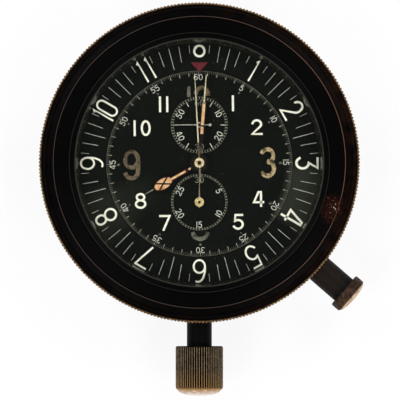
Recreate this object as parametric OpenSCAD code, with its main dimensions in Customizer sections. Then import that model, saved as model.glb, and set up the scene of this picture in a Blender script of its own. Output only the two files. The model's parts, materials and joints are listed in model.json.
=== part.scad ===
// Cockpit chronograph clock with a knurled turning bezel and a turning hour ring.
// It lies on its back: Z goes out through the crystal and Y points to twelve o'clock.
// The origin is the centre of the back face. All sizes are in millimetres.

/* [Crystal and hour ring] */
// Radius of the crystal, which the case and the bezel are built round
crystal_r = 32.5; // [31:0.1:34]
// Thickness of the crystal's edge
crystal_t = 1.2; // [1:0.1:1.4]
// Rise of the crystal's dome
crystal_rise = 0.7; // [0.4:0.1:0.9]
// Thickness of the wall ring under the crystal
wall_t = 1.3; // [1:0.1:1.6]
// Taper of that ring's inside, which is narrower at the hour ring
wall_taper = 1.1; // [0.8:0.1:1.4]
// Overlap of the hour ring on the dial
ring_over = 2; // [1.6:0.1:2.4]
// Thickness of the hour ring
ring_t = 0.5; // [0.4:0.05:0.6]
// Gap between the dial and the hour ring
ring_gap = 0.5; // [0.4:0.05:0.6]

/* [Case] */
// Height of the dial face above the back face
dial_z = 17.5; // [17:0.1:18.5]
// Gap between the crystal and the inside of the neck
neck_gap = 0.5; // [0.4:0.05:0.6]
// Wall of the neck that the bezel turns on
neck_wall = 1.5; // [1.3:0.1:1.8]
// Length of the neck
neck_len = 3.5; // [3:0.1:3.8]
// Width of the shoulder under the bezel
shoulder_w = 1.9; // [1.7:0.1:2.5]
// Step down from the drum to the part that a clamp ring grips
seat_step = 0.9; // [0.6:0.1:1.2]
// Length of that part
seat_len = 7; // [6:0.5:7]
// Wall of the case there, outside the bore that takes the movement ring
case_wall = 2; // [1.7:0.1:2.4]
// Height of the back edge of the case above the back face
rim_z = 1; // [0.6:0.1:1.2]
// Thickness of the back cover
back_t = 2; // [1.6:0.1:2.4]
// Inset of the back cover's flange from the drum
back_inset = 0.9; // [0.6:0.1:1.2]
// Width of the sunk band on the back cover
band_w = 6; // [4:0.5:7]
// Number of key slots in the back cover
slot_n = 6; // [4:1:8]
// Width of a key slot
slot_w = 3.2; // [2:0.1:4]

/* [Bezel] */
// Overhang of the knurling over the drum of the case
bezel_over = 3.85; // [3.4:0.05:4.4]
// Height of the bezel
bezel_h = 8.7; // [8.3:0.1:9.2]
// Number of serrations
knurl_n = 288; // [240:8:320]
// Depth of a serration
knurl_depth = 0.3; // [0.25:0.05:0.4]
// Distance of the front ridge from the knurling
ridge_in = 3.9; // [3.6:0.05:4.1]
// Overlap of the lip on the crystal
lip_over = 1.5; // [1.3:0.1:1.8]
// Width of the lip's sloping face
lip_w = 1.6; // [1.4:0.1:1.8]
// Gap between the case shoulder and the bezel
bezel_gap = 0.2; // [0.15:0.05:0.4]
// Running clearance of the bezel on the neck
bezel_clear = 0.08; // [0.05:0.01:0.1]
// Radius of the spring wire that holds the bezel
wire_r = 0.4; // [0.35:0.01:0.45]

/* [Dial] */
// Radius of the dial
dial_r = 25.6; // [25.2:0.1:26]
// Thickness of the dial
dial_t = 0.7; // [0.6:0.05:0.8]
// Distance of both sub-dials from the centre
sub_off = 9.7; // [9.5:0.05:9.9]
// Radius of a sub-dial
sub_r = 7.25; // [6.8:0.05:7.5]
// Depth of a sub-dial
sub_depth = 0.25; // [0.15:0.05:0.3]

/* [Hands] */
// Length of the hour hand
hour_len = 15.7; // [14.6:0.1:16.6]
// Start of the hour hand's bar
hour_bar = 3.5; // [3.2:0.1:4]
// Half the width of that bar
hour_bar_w = 0.5; // [0.4:0.05:0.6]
// Start of the hour hand's leaf
leaf_from = 7.7; // [7.2:0.1:8.2]
// End of that leaf
leaf_to = 13.1; // [12.6:0.1:13.6]
// Half the width of that leaf
leaf_w = 1.5; // [1.3:0.05:1.7]
// Length of the minute hand
minute_len = 22.3; // [21.4:0.1:22.8]
// Start of the minute hand's bar
minute_bar = 7.1; // [6.8:0.1:7.8]
// End of that bar
minute_bar_end = 15.3; // [14.6:0.1:16]
// Half the width of that bar
minute_bar_w = 0.6; // [0.45:0.05:0.7]
// Width of the frame round the open cells of both hands
frame_w = 0.2; // [0.16:0.01:0.24]
// Length of the chronograph hand
sweep_len = 22.5; // [21.6:0.1:22.8]
// Length of its tail
sweep_tail = 5.1; // [4:0.1:6]
// Length of the small seconds hand
seconds_len = 6.7; // [6:0.1:6.8]
// Length of its tail
seconds_tail = 2.7; // [2:0.1:3.2]
// Length of the counter hand
counter_len = 6.4; // [5.8:0.1:6.6]
// Thickness of every hand
hand_t = 0.2; // [0.15:0.01:0.25]
// Hour shown, counted from twelve
hour_shown = 8.0125; // [0:0.0125:11.9875]

/* [Crown and pusher] */
// Radius of the crown over its flutes
crown_r = 6; // [5.6:0.1:6.4]
// Length of the crown's fluted band
crown_len = 11.2; // [10:0.1:12.4]
// Rise of the crown's dome
crown_rise = 1.4; // [1:0.1:1.8]
// Number of flutes
flute_n = 60; // [48:2:64]
// Distance of the crown's inner face from the drum of the case
crown_gap = 9.6; // [8.6:0.1:11]
// Radius of the crown tube
tube_r = 3.16; // [3:0.02:3.4]
// Radius of the winding stem
stem_r = 1; // [0.9:0.02:1.04]
// Travel of the crown when it is pulled
pull = 1.2; // [0.8:0.1:1.3]
// Direction of the pusher, clockwise from three o'clock
push_a = 41; // [39:0.5:43]
// Radius of the pusher's shank
shank_r = 3.55; // [3.4:0.05:3.75]
// Distance of the pusher cap's inner face from the drum of the case
cap_gap = 12.1; // [11:0.1:13.5]
// Radius of the pusher's cap
cap_r = 4.8; // [4.5:0.05:5.2]
// Thickness of the pusher's cap
cap_t = 2.5; // [2:0.1:3]
// Rise of that cap's dome
cap_rise = 1; // [0.6:0.1:1.2]
// Travel of the pusher
push = 2; // [1.5:0.1:2.2]
// Running clearance of every turning or sliding pin
run_clear = 0.05; // [0.03:0.01:0.07]

/* [Movement] */
// Room between the balance wheel and the edge of the main plate
plate_room = 0.6; // [0.5:0.02:0.9]
// Inset of the bridge feet from that edge
foot_in = 2.36; // [2.2:0.02:2.5]
// Thickness of the main plate
plate_t = 3.2; // [3.1:0.05:3.3]
// Height of the room for the train
train_h = 3.5; // [3.45:0.05:3.6]
// Thickness of the bridges
bridge_t = 1.3; // [1.2:0.05:1.4]
// Height of the room for the chronograph work
chrono_h = 3.6; // [3.5:0.05:3.7]
// Radius of the balance wheel
balance_r = 5.2; // [4.8:0.1:5.3]
// Radius of the escape wheel
escape_r = 3; // [2.9:0.05:3.05]
// Turns of the mainspring that are seen
main_turns = 6; // [5:1:7]
// Turns of the hairspring
hair_turns = 9; // [7:1:11]
// Radius of the wheel arbors
arbor_r = 0.35; // [0.3:0.01:0.38]
// Radius of the jewels
jewel_r = 0.8; // [0.7:0.02:0.9]

/* [Hidden] */
$fn = 96;

// Radii, from the crystal out to the knurling
neck_bore = crystal_r + neck_gap;
neck_r = neck_bore + neck_wall;
body_r = neck_r + shoulder_w;
seat_r = body_r - seat_step;
bore_r = seat_r - case_wall;
back_r = seat_r - back_inset;
bezel_r = body_r + bezel_over;
ridge_r = bezel_r - ridge_in;
opening_r = crystal_r - lip_over;
lip_r = opening_r + lip_w;
wall_r = crystal_r - wall_t;
ring_r = dial_r - ring_over;
crown_y = body_r + crown_gap;
cap_x = body_r + cap_gap;

// Heights, from the back face up to the bezel
shoulder_z = dial_z - 0.4;
bezel_z = shoulder_z + bezel_gap;
bezel_top = bezel_z + bezel_h;
neck_z = shoulder_z + neck_len;
seat_z = bezel_top - 2;
crystal_z = seat_z - crystal_t;
ring_z = dial_z + ring_gap;
plate_top = dial_z - dial_t - 0.8;
plate_z = plate_top - plate_t;
bridge_z = plate_z - train_h;
under_z = bridge_z - bridge_t;
works_z = under_z - chrono_h;
stem_z = plate_z - 0.2;
ledge_z = shoulder_z - 1.5;

// Tooth counts of the going train, the motion works, the winding work and the chronograph
barrel_n = 72;
centre_leaf = 12;
centre_n = 64;
third_leaf = 8;
third_n = 60;
fourth_leaf = 8;
fourth_n = 70;
escape_leaf = 7;
escape_n = 15;
cannon_n = 12;
minute_n = 36;
minute_leaf = 10;
hour_n = 40;
winding_n = 14;
face_n = 20;
spur_n = 20;
idler_n = 18;
ratchet_n = 44;
drive_n = 40;
coupling_n = 28;
runner_n = 40;
count_n = 30;
count_idler_n = 18;
column_n = 12;

// Modules, so that the wheels meet at the sub-dial spacing
third_m = sub_off * 0.0175;
centre_m = sub_off * 0.02;
fourth_m = 0.15;
barrel_m = 0.21;
cannon_m = 0.25;
hour_m = cannon_m * (cannon_n + minute_n) / (minute_leaf + hour_n);
winding_m = 0.24;
spur_m = 0.3;
chrono_m = sub_off * 0.016;
count_m = 0.15;

function polar(r, a) = [r * cos(a), r * sin(a)];
function bearing(p, q) = atan2(q[1] - p[1], q[0] - p[0]);
function spacing(n, k, m) = (n + k) * m / 2;
// The point at distance a from p and b from q, on the left of the way from p to q
function meet(p, a, q, b) =
    let (d = norm(q - p), t = bearing(p, q), c = (a * a + d * d - b * b) / (2 * a * d))
    p + polar(a, t + acos(c));
// The turn that puts wheel 2 in mesh with wheel 1, which has a tooth at angle t
function mesh(n, t, k, phi) = phi + 180 - 360 / k * (0.5 - (phi - t) * n / 360);
function tooth(r0, r1, r2, a, h) = [polar(r0, a - h), polar(r1, a - h), polar(r2, a - 0.4 * h),
    polar(r2, a + 0.4 * h), polar(r1, a + h), polar(r0, a + h)];
function wheel_outline(n, m, fill, rise) =
    [for (i = [0 : n - 1]) each
        tooth((n / 2 - 1.25) * m, n * m / 2, (n / 2 + rise) * m, i * 360 / n, 180 * fill / n)];
function saw_outline(n, r, depth) =
    [for (i = [0 : n - 1]) each [polar(r, i * 360 / n), polar(r - depth, (i + 0.12) * 360 / n)]];
function vee_outline(n, r, depth) =
    [for (i = [0 : n - 1]) each [polar(r, (i - 0.1) * 360 / n), polar(r, (i + 0.1) * 360 / n),
        polar(r - depth, (i + 0.5) * 360 / n)]];
function spiral(r0, r1, turns, w) =
    let (k = turns * 24)
    concat([for (i = [0 : k]) polar(r0 + (r1 - r0) * i / k - w / 2, i * 15)],
        [for (i = [k : -1 : 0]) polar(r0 + (r1 - r0) * i / k + w / 2, i * 15)]);

// Places of the arbors, seen from the dial side
centre_p = [0, 0];
fourth_p = [0, sub_off];
count_p = [0, -sub_off];
third_p = meet(fourth_p, spacing(third_n, fourth_leaf, third_m), centre_p,
    spacing(centre_n, third_leaf, centre_m));
barrel_p = polar(spacing(barrel_n, centre_leaf, barrel_m), 214);
escape_p = fourth_p + polar(spacing(fourth_n, escape_leaf, fourth_m), 200);
pallet_p = escape_p + polar(escape_r * 1.155, 172);
balance_p = pallet_p + polar(4, 172);
minute_p = polar(spacing(cannon_n, minute_n, cannon_m), -45);
crown_p = [0, -14.7 - face_n * winding_m / 2];
idler_p = meet(crown_p, spacing(spur_n, idler_n, spur_m), barrel_p,
    spacing(ratchet_n, idler_n, spur_m));
click_p = barrel_p + polar(8.9, 215);
count_idler_p = count_p + [0, spacing(count_n, count_idler_n, count_m)];
setting_p = [4.2, -18.4];
column_p = [7.2, -5.5];
push_u = polar(1, -push_a);
post_r = 0.7;
post_p = 17.9 * push_u;
lever_arm = 8;
lever_p = post_p + lever_arm * polar(1, 90 - push_a);
hammer_p = [-5.5, 6];

// The coupling lever turns about the point where the drive wheel and the coupling wheel touch
throw = 14;
drive_r = drive_n * chrono_m / 2;
coupling_r = coupling_n * chrono_m / 2;
runner_r = runner_n * chrono_m / 2;
swung = [drive_r + coupling_r * cos(throw), coupling_r * sin(throw)];
near = norm(swung);
close_a = acos((sub_off * sub_off + near * near - pow(runner_r + coupling_r + 0.03, 2))
    / (2 * sub_off * near));
coupling_a = -90 + close_a + atan2(swung[1], swung[0]);
coupling_p = fourth_p + polar(drive_r + coupling_r, coupling_a);
coupling_pivot = fourth_p + polar(drive_r, coupling_a);
engaged_p = coupling_pivot + polar(coupling_r, coupling_a - throw);

// Turns that put the teeth in mesh at rest
third_t = mesh(third_n, 0, fourth_leaf, bearing(third_p, fourth_p));
centre_t = mesh(centre_n, 0, third_leaf, bearing(centre_p, third_p));
barrel_t = mesh(barrel_n, 0, centre_leaf, bearing(barrel_p, centre_p));
fourth_t = mesh(fourth_n, 0, escape_leaf, bearing(fourth_p, escape_p));
minute_t = mesh(minute_n, 0, cannon_n, bearing(minute_p, centre_p));
hour_t = mesh(hour_n, 0, minute_leaf, bearing(centre_p, minute_p));
idler_t = mesh(spur_n, 0, idler_n, bearing(crown_p, idler_p));
ratchet_t = mesh(idler_n, idler_t, ratchet_n, bearing(idler_p, barrel_p));
coupling_t = mesh(drive_n, 0, coupling_n, bearing(fourth_p, coupling_p));
runner_t = mesh(coupling_n, coupling_t - throw, runner_n, bearing(engaged_p, centre_p));
count_t = mesh(count_n, 0, count_idler_n, bearing(count_p, count_idler_p));
escape_t = bearing(escape_p, pallet_p) + 6;

// Feet of the bridges, each with one screw
plate_r = norm(balance_p) + balance_r + plate_room;
foot_r = plate_r - foot_in;
barrel_feet = [polar(foot_r, -123.3), polar(foot_r, 193.6), polar(foot_r, -76.1)];
train_feet = [polar(foot_r - 5.7, -11.1), polar(foot_r - 2.8, 39.5), polar(foot_r - 1, 79.2)];
cock_foot = polar(foot_r, 115);
pallet_foot = polar(foot_r - 3.3, 121.1);
works_feet = [[6.3, 0.6], [5.4, -13.2]];

// Hand angles, anticlockwise from three o'clock
hour_a = 90 - 30 * hour_shown;
minute_a = 90 - 360 * (hour_shown - floor(hour_shown));
seconds_a = 180;
sweep_a = 93;
counter_a = 90;

module at(p, z = 0) translate([p[0], p[1], z]) children();
module pin(p, r, z0, z1) at(p, z0) cylinder(r = r, h = z1 - z0);
module tube(p, r, bore, z0, z1) difference() {
    pin(p, r, z0, z1);
    pin(p, bore, z0 - 1, z1 + 1);
}
// A flat bar with a round boss at each end, a little wider than the bar
module bar(p, q, w, z0, t) {
    at(p, z0) rotate([0, 0, bearing(p, q)]) translate([0, -w * 0.46, 0]) cube([norm(q - p), w * 0.92, t]);
    at(p, z0) cylinder(r = w / 2, h = t);
    at(q, z0) cylinder(r = w / 2, h = t);
}
module bore(p, r) at(p, -1) cylinder(r = r, h = 40);
// A lying cylinder on the crown's axis, from distance y0 to y1
module lying(r, y0, y1, z = stem_z) translate([0, -y0, z]) rotate([90, 0, 0]) cylinder(r = r, h = y1 - y0);
// The same along the pusher's axis
module pushing(r, x0, x1) rotate([0, 0, -push_a]) translate([x0, 0, stem_z]) rotate([0, 90, 0])
    cylinder(r = r, h = x1 - x0);
module ring(r0, r1, z0, z1) rotate_extrude() translate([r0, z0]) square([r1 - r0, z1 - z0]);

// A spoked wheel: teeth, rim and four arms
module wheel(p, n, m, turn, z, t, hub) at(p, z) rotate([0, 0, turn]) linear_extrude(t) difference() {
    polygon(wheel_outline(n, m, 0.42, 0.9));
    difference() {
        circle(r = (n / 2 - 2.6) * m);
        circle(r = hub);
        for (a = [0, 90]) rotate(a) square([n * m, 0.7], center = true);
    }
}
module pinion(p, n, m, turn, z, t) at(p, z) rotate([0, 0, turn]) linear_extrude(t)
    polygon(wheel_outline(n, m, 0.34, 0.7));
module plain_wheel(p, n, m, turn, z, t) at(p, z) rotate([0, 0, turn]) linear_extrude(t)
    polygon(wheel_outline(n, m, 0.42, 0.9));
// An arbor with a thinner pivot at each end
module arbor(p, z0, z1) {
    pin(p, arbor_r, z0, z1);
    pin(p, 0.2, z0 - 0.5, z1 + 0.5);
}
module heart(p, a, z, t) at(p, z) rotate([0, 0, a]) linear_extrude(t)
    polygon([for (i = [0 : 47]) polar(0.9 + 0.9 * (1 - abs(i / 24 - 1)), i * 7.5)]);

module case_body() color("#1c1a18") difference() {
    rotate_extrude() polygon([[bore_r, rim_z], [seat_r - 0.4, rim_z], [seat_r, rim_z + 0.4],
        [seat_r, rim_z + seat_len], [body_r, rim_z + seat_len], [body_r, shoulder_z - 0.5],
        [body_r - 0.5, shoulder_z], [neck_r, shoulder_z], [neck_r, neck_z - 0.3], [neck_r - 0.3, neck_z],
        [neck_bore, neck_z], [neck_bore, shoulder_z], [crystal_r - 0.3, shoulder_z],
        [crystal_r - 0.3, ledge_z], [bore_r, ledge_z]]);
    rotate_extrude() translate([neck_r, neck_z - 1.7]) circle(r = wire_r + 0.07);
    translate([0, 0, rim_z - 1]) cylinder(r = back_r - 0.6, h = back_t - rim_z + 1.5);
    ring(bore_r - 1, bore_r + 0.7, bridge_z - 1.25, bridge_z - 0.15);
    lying(tube_r, bore_r - 3, body_r + 1);
    pushing(shank_r + 0.5, bore_r - 3, body_r + 1);
}

module back_cover() color("#24211e") difference() {
    rotate_extrude() polygon([[0, 0], [back_r - 0.4, 0], [back_r, 0.3], [back_r, rim_z - 0.1],
        [back_r - 0.65, rim_z - 0.1], [back_r - 0.65, back_t], [0, back_t]]);
    ring(back_r - 5.6 - band_w, back_r - 5.6, -1, 0.5);
    for (i = [0 : slot_n - 1])
        rotate([0, 0, i * 360 / slot_n]) translate([back_r - 4.8, -slot_w / 2, -1]) cube([3, slot_w, 2]);
    translate([0, 0, back_t - 0.6]) cylinder(r = bore_r - 3, h = 2);
}

module back_gasket() color("#141414") ring(bore_r - 0.6, back_r - 0.7, back_t, back_t + 0.5);

module bezel() color("#1a1816") difference() {
    union() {
        rotate_extrude() polygon([[neck_r + bezel_clear, bezel_z], [bezel_r - 1.2, bezel_z],
            [bezel_r - 0.8, bezel_z + 0.4], [bezel_r - 0.8, bezel_top - 1.9],
            [bezel_r - 1.05, bezel_top - 1.3], [bezel_r - 1.55, bezel_top - 0.8],
            [bezel_r - 2.2, bezel_top - 0.4], [ridge_r + 0.4, bezel_top - 0.08],
            [ridge_r + 0.2, bezel_top], [ridge_r, bezel_top - 0.1], [ridge_r - 0.25, bezel_top - 0.35],
            [ridge_r - 1.2, bezel_top - 0.6], [lip_r + 0.5, bezel_top - 1.1], [lip_r, bezel_top - 1.15],
            [opening_r, bezel_top - 1.7], [opening_r, seat_z], [crystal_r + run_clear, seat_z],
            [crystal_r + run_clear, neck_z + 0.3], [neck_r + bezel_clear, neck_z + 0.3]]);
        translate([0, 0, bezel_z + 0.6]) linear_extrude(bezel_h - 2.4) difference() {
            polygon(vee_outline(knurl_n, bezel_r, knurl_depth));
            circle(r = bezel_r - 1.6);
        }
    }
    rotate_extrude() translate([neck_r, neck_z - 1.7]) circle(r = wire_r + 0.07);
}

module bezel_wire() color("#8b8b86") rotate_extrude() translate([neck_r, neck_z - 1.7]) circle(r = wire_r);

module crystal() color([0.8, 0.9, 0.95, 0.25]) rotate_extrude() polygon(concat([[0, crystal_z],
    [crystal_r, crystal_z], [crystal_r, seat_z], [opening_r - run_clear, seat_z],
    [opening_r - run_clear, seat_z + 0.5]],
    [for (i = [1 : 16]) let (x = (opening_r - 0.3) * (1 - i / 16))
        [x, seat_z + 0.6 + crystal_rise * (1 - pow(x / (opening_r - 0.3), 2))]]));

module crystal_ring() color("#121110") rotate_extrude() polygon([[wall_r - wall_taper, ring_z + ring_t],
    [crystal_r, ring_z + ring_t], [crystal_r, crystal_z], [wall_r, crystal_z]]);

module hour_ring() color("#191919") ring(ring_r, crystal_r - 0.1, ring_z, ring_z + ring_t);

module dial() color("#151412") difference() {
    union() {
        translate([0, 0, dial_z - dial_t]) cylinder(r = dial_r, h = dial_t);
        for (a = [40, 220]) pin(polar(19.6, a), 0.6, plate_top - 1.4, dial_z - dial_t);
    }
    for (p = [fourth_p, count_p]) pin(p, sub_r, dial_z - sub_depth, dial_z + 1);
    for (p = [fourth_p, count_p]) bore(p, arbor_r + 0.3);
    bore(centre_p, 2.1);
}

module crown_tube() color("#191817") difference() {
    lying(tube_r, bore_r - 0.4, crown_y + 0.7);
    lying(stem_r + run_clear, bore_r - 1, crown_y + 2);
}

module crown() color("#6d4a2c") difference() {
    union() {
        translate([0, -crown_y, stem_z]) rotate([90, 0, 0]) rotate_extrude() polygon(concat([[0, 0],
            [crown_r - 0.5, 0.1], [crown_r - 0.5, crown_len - 0.5]],
            [for (i = [0 : 8]) let (a = i * 11.25)
                [(crown_r - 0.6) * cos(a), crown_len - 0.1 + (crown_rise + 0.1) * sin(a)]]));
        translate([0, -crown_y, stem_z]) rotate([90, 0, 0]) intersection() {
            linear_extrude(crown_len) difference() {
                polygon(vee_outline(flute_n, crown_r, 0.36));
                circle(r = crown_r - 1.2);
            }
            rotate_extrude() polygon([[0, 0], [crown_r - 0.3, 0], [crown_r + 0.05, 0.4],
                [crown_r + 0.05, crown_len - 1], [crown_r - 0.2, crown_len - 0.35],
                [crown_r - 0.55, crown_len], [0, crown_len]]);
        }
    }
    lying(tube_r + 0.2, crown_y - 1, crown_y + 1.5);
    lying(stem_r, crown_y - 1, crown_y + 8);
}

module winding_stem() color("#9a9a98") {
    lying(stem_r, 18.85, crown_y + 8);
    lying(0.55, 17.8, 19);
    lying(stem_r, 14.15, 17.95);
    translate([-0.65, -14.2, stem_z - 0.65]) cube([1.3, 2.3, 1.3]);
    lying(0.5, 10.95, 12);
}

module pusher_tube() color("#1d1b19") difference() {
    pushing(shank_r + 0.5, bore_r - 4.3, body_r + 1.5);
    pushing(shank_r + run_clear, bore_r - 3.3, body_r + 3);
    pushing(1.2 + run_clear, bore_r - 6, body_r);
}

module pusher() color("#4a3526") {
    pushing(shank_r, bore_r + 1.7, cap_x);
    rotate([0, 0, -push_a]) translate([cap_x + 0.3, 0, stem_z]) rotate([0, 90, 0]) rotate_extrude()
        polygon(concat([[0, -0.3], [cap_r - 0.25, -0.3], [cap_r, -0.05], [cap_r, cap_t - 0.5],
            [cap_r - 0.2, cap_t - 0.3]], [for (i = [0 : 8])
                [(cap_r - 0.3) * cos(i * 11.25), cap_t - 0.3 + cap_rise * sin(i * 11.25)]]));
    pushing(1.2, norm(post_p) + post_r + run_clear, bore_r + 2);
    pushing(2.2, bore_r - 5, bore_r - 4.4);
}

module pusher_spring() color("#8f8f8a") rotate([0, 0, -push_a]) translate([bore_r - 3.2, 0, stem_z])
    rotate([0, 90, 0]) coil(2.4, 0.25, 5, 4.7);

// A coil of wire, wound along Z
module coil(r, w, turns, h) {
    steps = turns * 14;
    side = 6;
    points = [for (i = [0 : steps]) for (j = [0 : side - 1]) let (a = i * turns * 360 / steps,
        q = r + w * cos(j * 60)) [q * cos(a), q * sin(a), w + (h - 2 * w) * i / steps + w * sin(j * 60)]];
    skin = [for (i = [0 : steps - 1]) for (j = [0 : side - 1]) let (k = (j + 1) % side)
        [i * side + j, i * side + side + j, i * side + side + k, i * side + k]];
    start = [[for (j = [0 : side - 1]) j]];
    end = [[for (j = [side - 1 : -1 : 0]) steps * side + j]];
    polyhedron(points, concat(skin, start, end), convexity = 10);
}

module movement_ring() color("#8a7a4c") difference() {
    union() {
        ring(plate_r + run_clear, bore_r - 0.1, bridge_z - 0.3, ledge_z);
        ring(plate_r + 0.8, dial_r - 0.1, ledge_z - 1, dial_z - dial_t);
    }
    translate([0, 0, plate_top - 1]) cylinder(r = plate_r + 0.8, h = 5);
    lying(tube_r + 0.25, bore_r - 1.2, bore_r + 1);
    lying(stem_r + 0.3, plate_r - 1, bore_r);
    pushing(shank_r + 0.6, bore_r - 4.4, bore_r + 1);
    pushing(2.6, bore_r - 7.5, bore_r - 4);
    pushing(1.5, plate_r - 1, bore_r);
    for (a = [60, 180, 300]) rotate([0, 0, a]) pin([bore_r - 3.2, 0], 0.7, 0, bridge_z + 2.2);
}

module case_clamps() color("#9c9c98") for (a = [60, 180, 300]) rotate([0, 0, a]) {
    translate([bore_r - 5, -1.2, bridge_z - 1.1]) cube([5.5, 2.4, 0.8]);
    difference() {
        pin([bore_r - 3.2, 0], 1.1, bridge_z - 1.8, bridge_z - 1);
        translate([bore_r - 5, -0.15, bridge_z - 2]) cube([4, 0.3, 0.5]);
    }
    pin([bore_r - 3.2, 0], 0.7, bridge_z - 1, bridge_z + 2);
}

module main_plate() color("#b9974e") difference() {
    union() {
        pin(centre_p, plate_r, plate_z, plate_top);
        pin(centre_p, plate_r + 0.75, plate_top - 1, plate_top);
        translate([-1.3, -11.6, stem_z - 1.1]) cube([2.6, 0.6, 2]);
    }
    pin(centre_p, hour_n * hour_m / 2 + 0.6, plate_top - 1.4, plate_top + 1);
    pin(minute_p, minute_n * cannon_m / 2 + 0.6, plate_top - 1.4, plate_top + 1);
    bore(centre_p, 0.9 + run_clear);
    for (p = [fourth_p, count_p]) bore(p, arbor_r + run_clear);
    for (p = [third_p, escape_p, pallet_p, balance_p]) pin(p, jewel_r, plate_z - 1, plate_z + 0.8);
    pin(barrel_p, 0.9 + run_clear, plate_z - 1, plate_z + 1);
    lying(0.5 + run_clear, 10.5, 12);
    translate([-2.2, -16.5, plate_z - 1]) cube([4.4, 4.9, 3]);
    translate([-1.2, -25, plate_z - 1]) cube([2.4, 9, 2.1]);
    translate([-1.6, -20.7, plate_top - 0.9]) cube([7, 3.9, 2]);
    translate([-0.7, -20.3, plate_z - 1]) cube([1.4, 2.6, 6]);
    pin(setting_p, 0.6, plate_top - 1.5, plate_top);
    rotate([0, 0, -push_a]) translate([14.9, -1.7, plate_z - 1]) cube([12, 3.4, 2.4]);
    for (p = concat(barrel_feet, train_feet, [cock_foot, pallet_foot]))
        pin(p, 0.6, plate_z - 1, plate_z + 1.6);
    for (a = [40, 220]) bore(polar(19.6, a), 0.65);
}

module foot(p, z) pin(p, 1.5, z, plate_z);

module barrel_bridge() color("#b39049") difference() {
    union() {
        translate([0, 0, under_z]) linear_extrude(bridge_t) intersection() {
            circle(r = plate_r - 0.8);
            polygon([[-1.5, 3], [-30, 3], [-30, -30], [6.6, -30], [6.6, -15.6], [2.8, -11.6], [-1.5, -11.6]]);
        }
        for (p = barrel_feet) foot(p, bridge_z - 0.1);
    }
    bore(barrel_p, 0.9 + run_clear);
    bore(crown_p, 0.8 + run_clear);
    pin(idler_p, 0.6, under_z - 1, under_z + 1);
    pin(click_p, 0.6, under_z - 1, under_z + 1);
    for (p = barrel_feet) bore(p, 0.6);
    bore(count_p, 2.4);
}

module train_bridge() color("#b7944c") difference() {
    union() {
        translate([0, 0, under_z]) linear_extrude(bridge_t) intersection() {
            circle(r = plate_r - 0.8);
            polygon([[-1.3, -11.2], [3, -11.2], [7, -15.2], [9, -17], [30, -17], [30, 30], [0, 30], [-2, 16],
                [-6.6, 10], [-7.2, 7.4], [-5.4, 6.2], [-1.3, 5.2]]);
        }
        for (p = train_feet) foot(p, bridge_z - 0.1);
    }
    bore(centre_p, 0.9 + run_clear);
    for (p = [fourth_p, count_p]) bore(p, arbor_r + run_clear);
    for (p = [third_p, escape_p]) pin(p, jewel_r, bridge_z - 0.8, bridge_z + 1);
    for (p = [coupling_pivot, column_p, lever_p, hammer_p, count_idler_p])
        pin(p, 0.5, under_z - 1, under_z + 1);
    for (p = works_feet) pin(p, 0.6, under_z - 1, bridge_z + 1);
    for (p = train_feet) bore(p, 0.6);
    rotate([0, 0, -push_a]) translate([14.4, -1.6, under_z - 1]) cube([12, 5, 4]);
}

module balance_cock() color("#bb9850") difference() {
    union() {
        bar(cock_foot, balance_p, 4.4, under_z - 0.8, 1.2);
        foot(cock_foot, under_z);
    }
    pin(balance_p, jewel_r, under_z - 0.4, under_z + 2);
    bore(cock_foot, 0.6);
}

module pallet_bridge() color("#bb9850") difference() {
    union() {
        bar(pallet_foot, pallet_p, 2.2, bridge_z + 1.05, 0.4);
        pin(pallet_foot, 1.1, bridge_z + 1.1, plate_z);
    }
    bore(pallet_p, 0.2 + run_clear);
    bore(pallet_foot, 0.6);
}

module chronograph_bridge() color("#b08d46") difference() {
    union() {
        bar(works_feet[0], centre_p, 2.6, works_z - 1, 1);
        bar(centre_p, count_p, 2.6, works_z - 1, 1);
        bar(count_p, works_feet[1], 2.6, works_z - 1, 1);
        for (p = works_feet) pin(p, 1.3, works_z - 0.1, under_z);
    }
    for (p = [centre_p, count_p]) bore(p, 0.3 + run_clear);
    for (p = works_feet) bore(p, 0.6);
}

// Slotted screw with its head down
module screw(p, z, top) {
    difference() {
        pin(p, 1.1, z - 0.6, z);
        at(p, z - 0.8) translate([-2, -0.15, 0]) cube([4, 0.3, 0.5]);
    }
    pin(p, 0.6, z - 0.1, top);
}
module bridge_screws() color("#42506a") {
    for (p = concat(barrel_feet, train_feet)) screw(p, under_z, plate_z + 1.5);
    screw(cock_foot, under_z - 0.8, plate_z + 1.5);
    screw(pallet_foot, bridge_z + 1.05, plate_z + 1.5);
    for (p = works_feet) screw(p, works_z - 1, bridge_z);
}

module jewels() color("#9c2448") {
    for (p = [third_p, escape_p, pallet_p, balance_p])
        tube(p, jewel_r, 0.2 + run_clear, plate_z, plate_z + 0.8);
    for (p = [third_p, escape_p]) tube(p, jewel_r, 0.2 + run_clear, bridge_z - 0.8, bridge_z);
    tube(balance_p, jewel_r, 0.2 + run_clear, under_z - 0.4, under_z + 0.4);
}

module barrel() color("#c2a15a") difference() {
    union() {
        plain_wheel(barrel_p, barrel_n, barrel_m, 0, bridge_z + 0.3, 0.7);
        pin(barrel_p, 7, bridge_z + 0.4, bridge_z + 2.6);
    }
    pin(barrel_p, 6.5, bridge_z + 0.8, bridge_z + 2.2);
    bore(barrel_p, 0.9 + run_clear);
}

module mainspring() color("#5a5d66") at(barrel_p, bridge_z + 0.9) linear_extrude(1.2)
    polygon(spiral(2.2, 6.3, main_turns, 0.22));

module barrel_arbor() color("#8e8e8c") {
    pin(barrel_p, 1.9, bridge_z + 0.9, bridge_z + 2.1);
    pin(barrel_p, 0.9, under_z - 0.2, plate_z + 0.9);
    at(barrel_p, under_z - 0.9) translate([-0.6, -0.6, 0]) cube([1.2, 1.2, 1]);
}

module ratchet_wheel() color("#a9a9a4") difference() {
    plain_wheel(barrel_p, ratchet_n, spur_m, ratchet_t, under_z - 0.8, 0.6);
    at(barrel_p, under_z - 2) translate([-0.6, -0.6, 0]) cube([1.2, 1.2, 4]);
}

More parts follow.
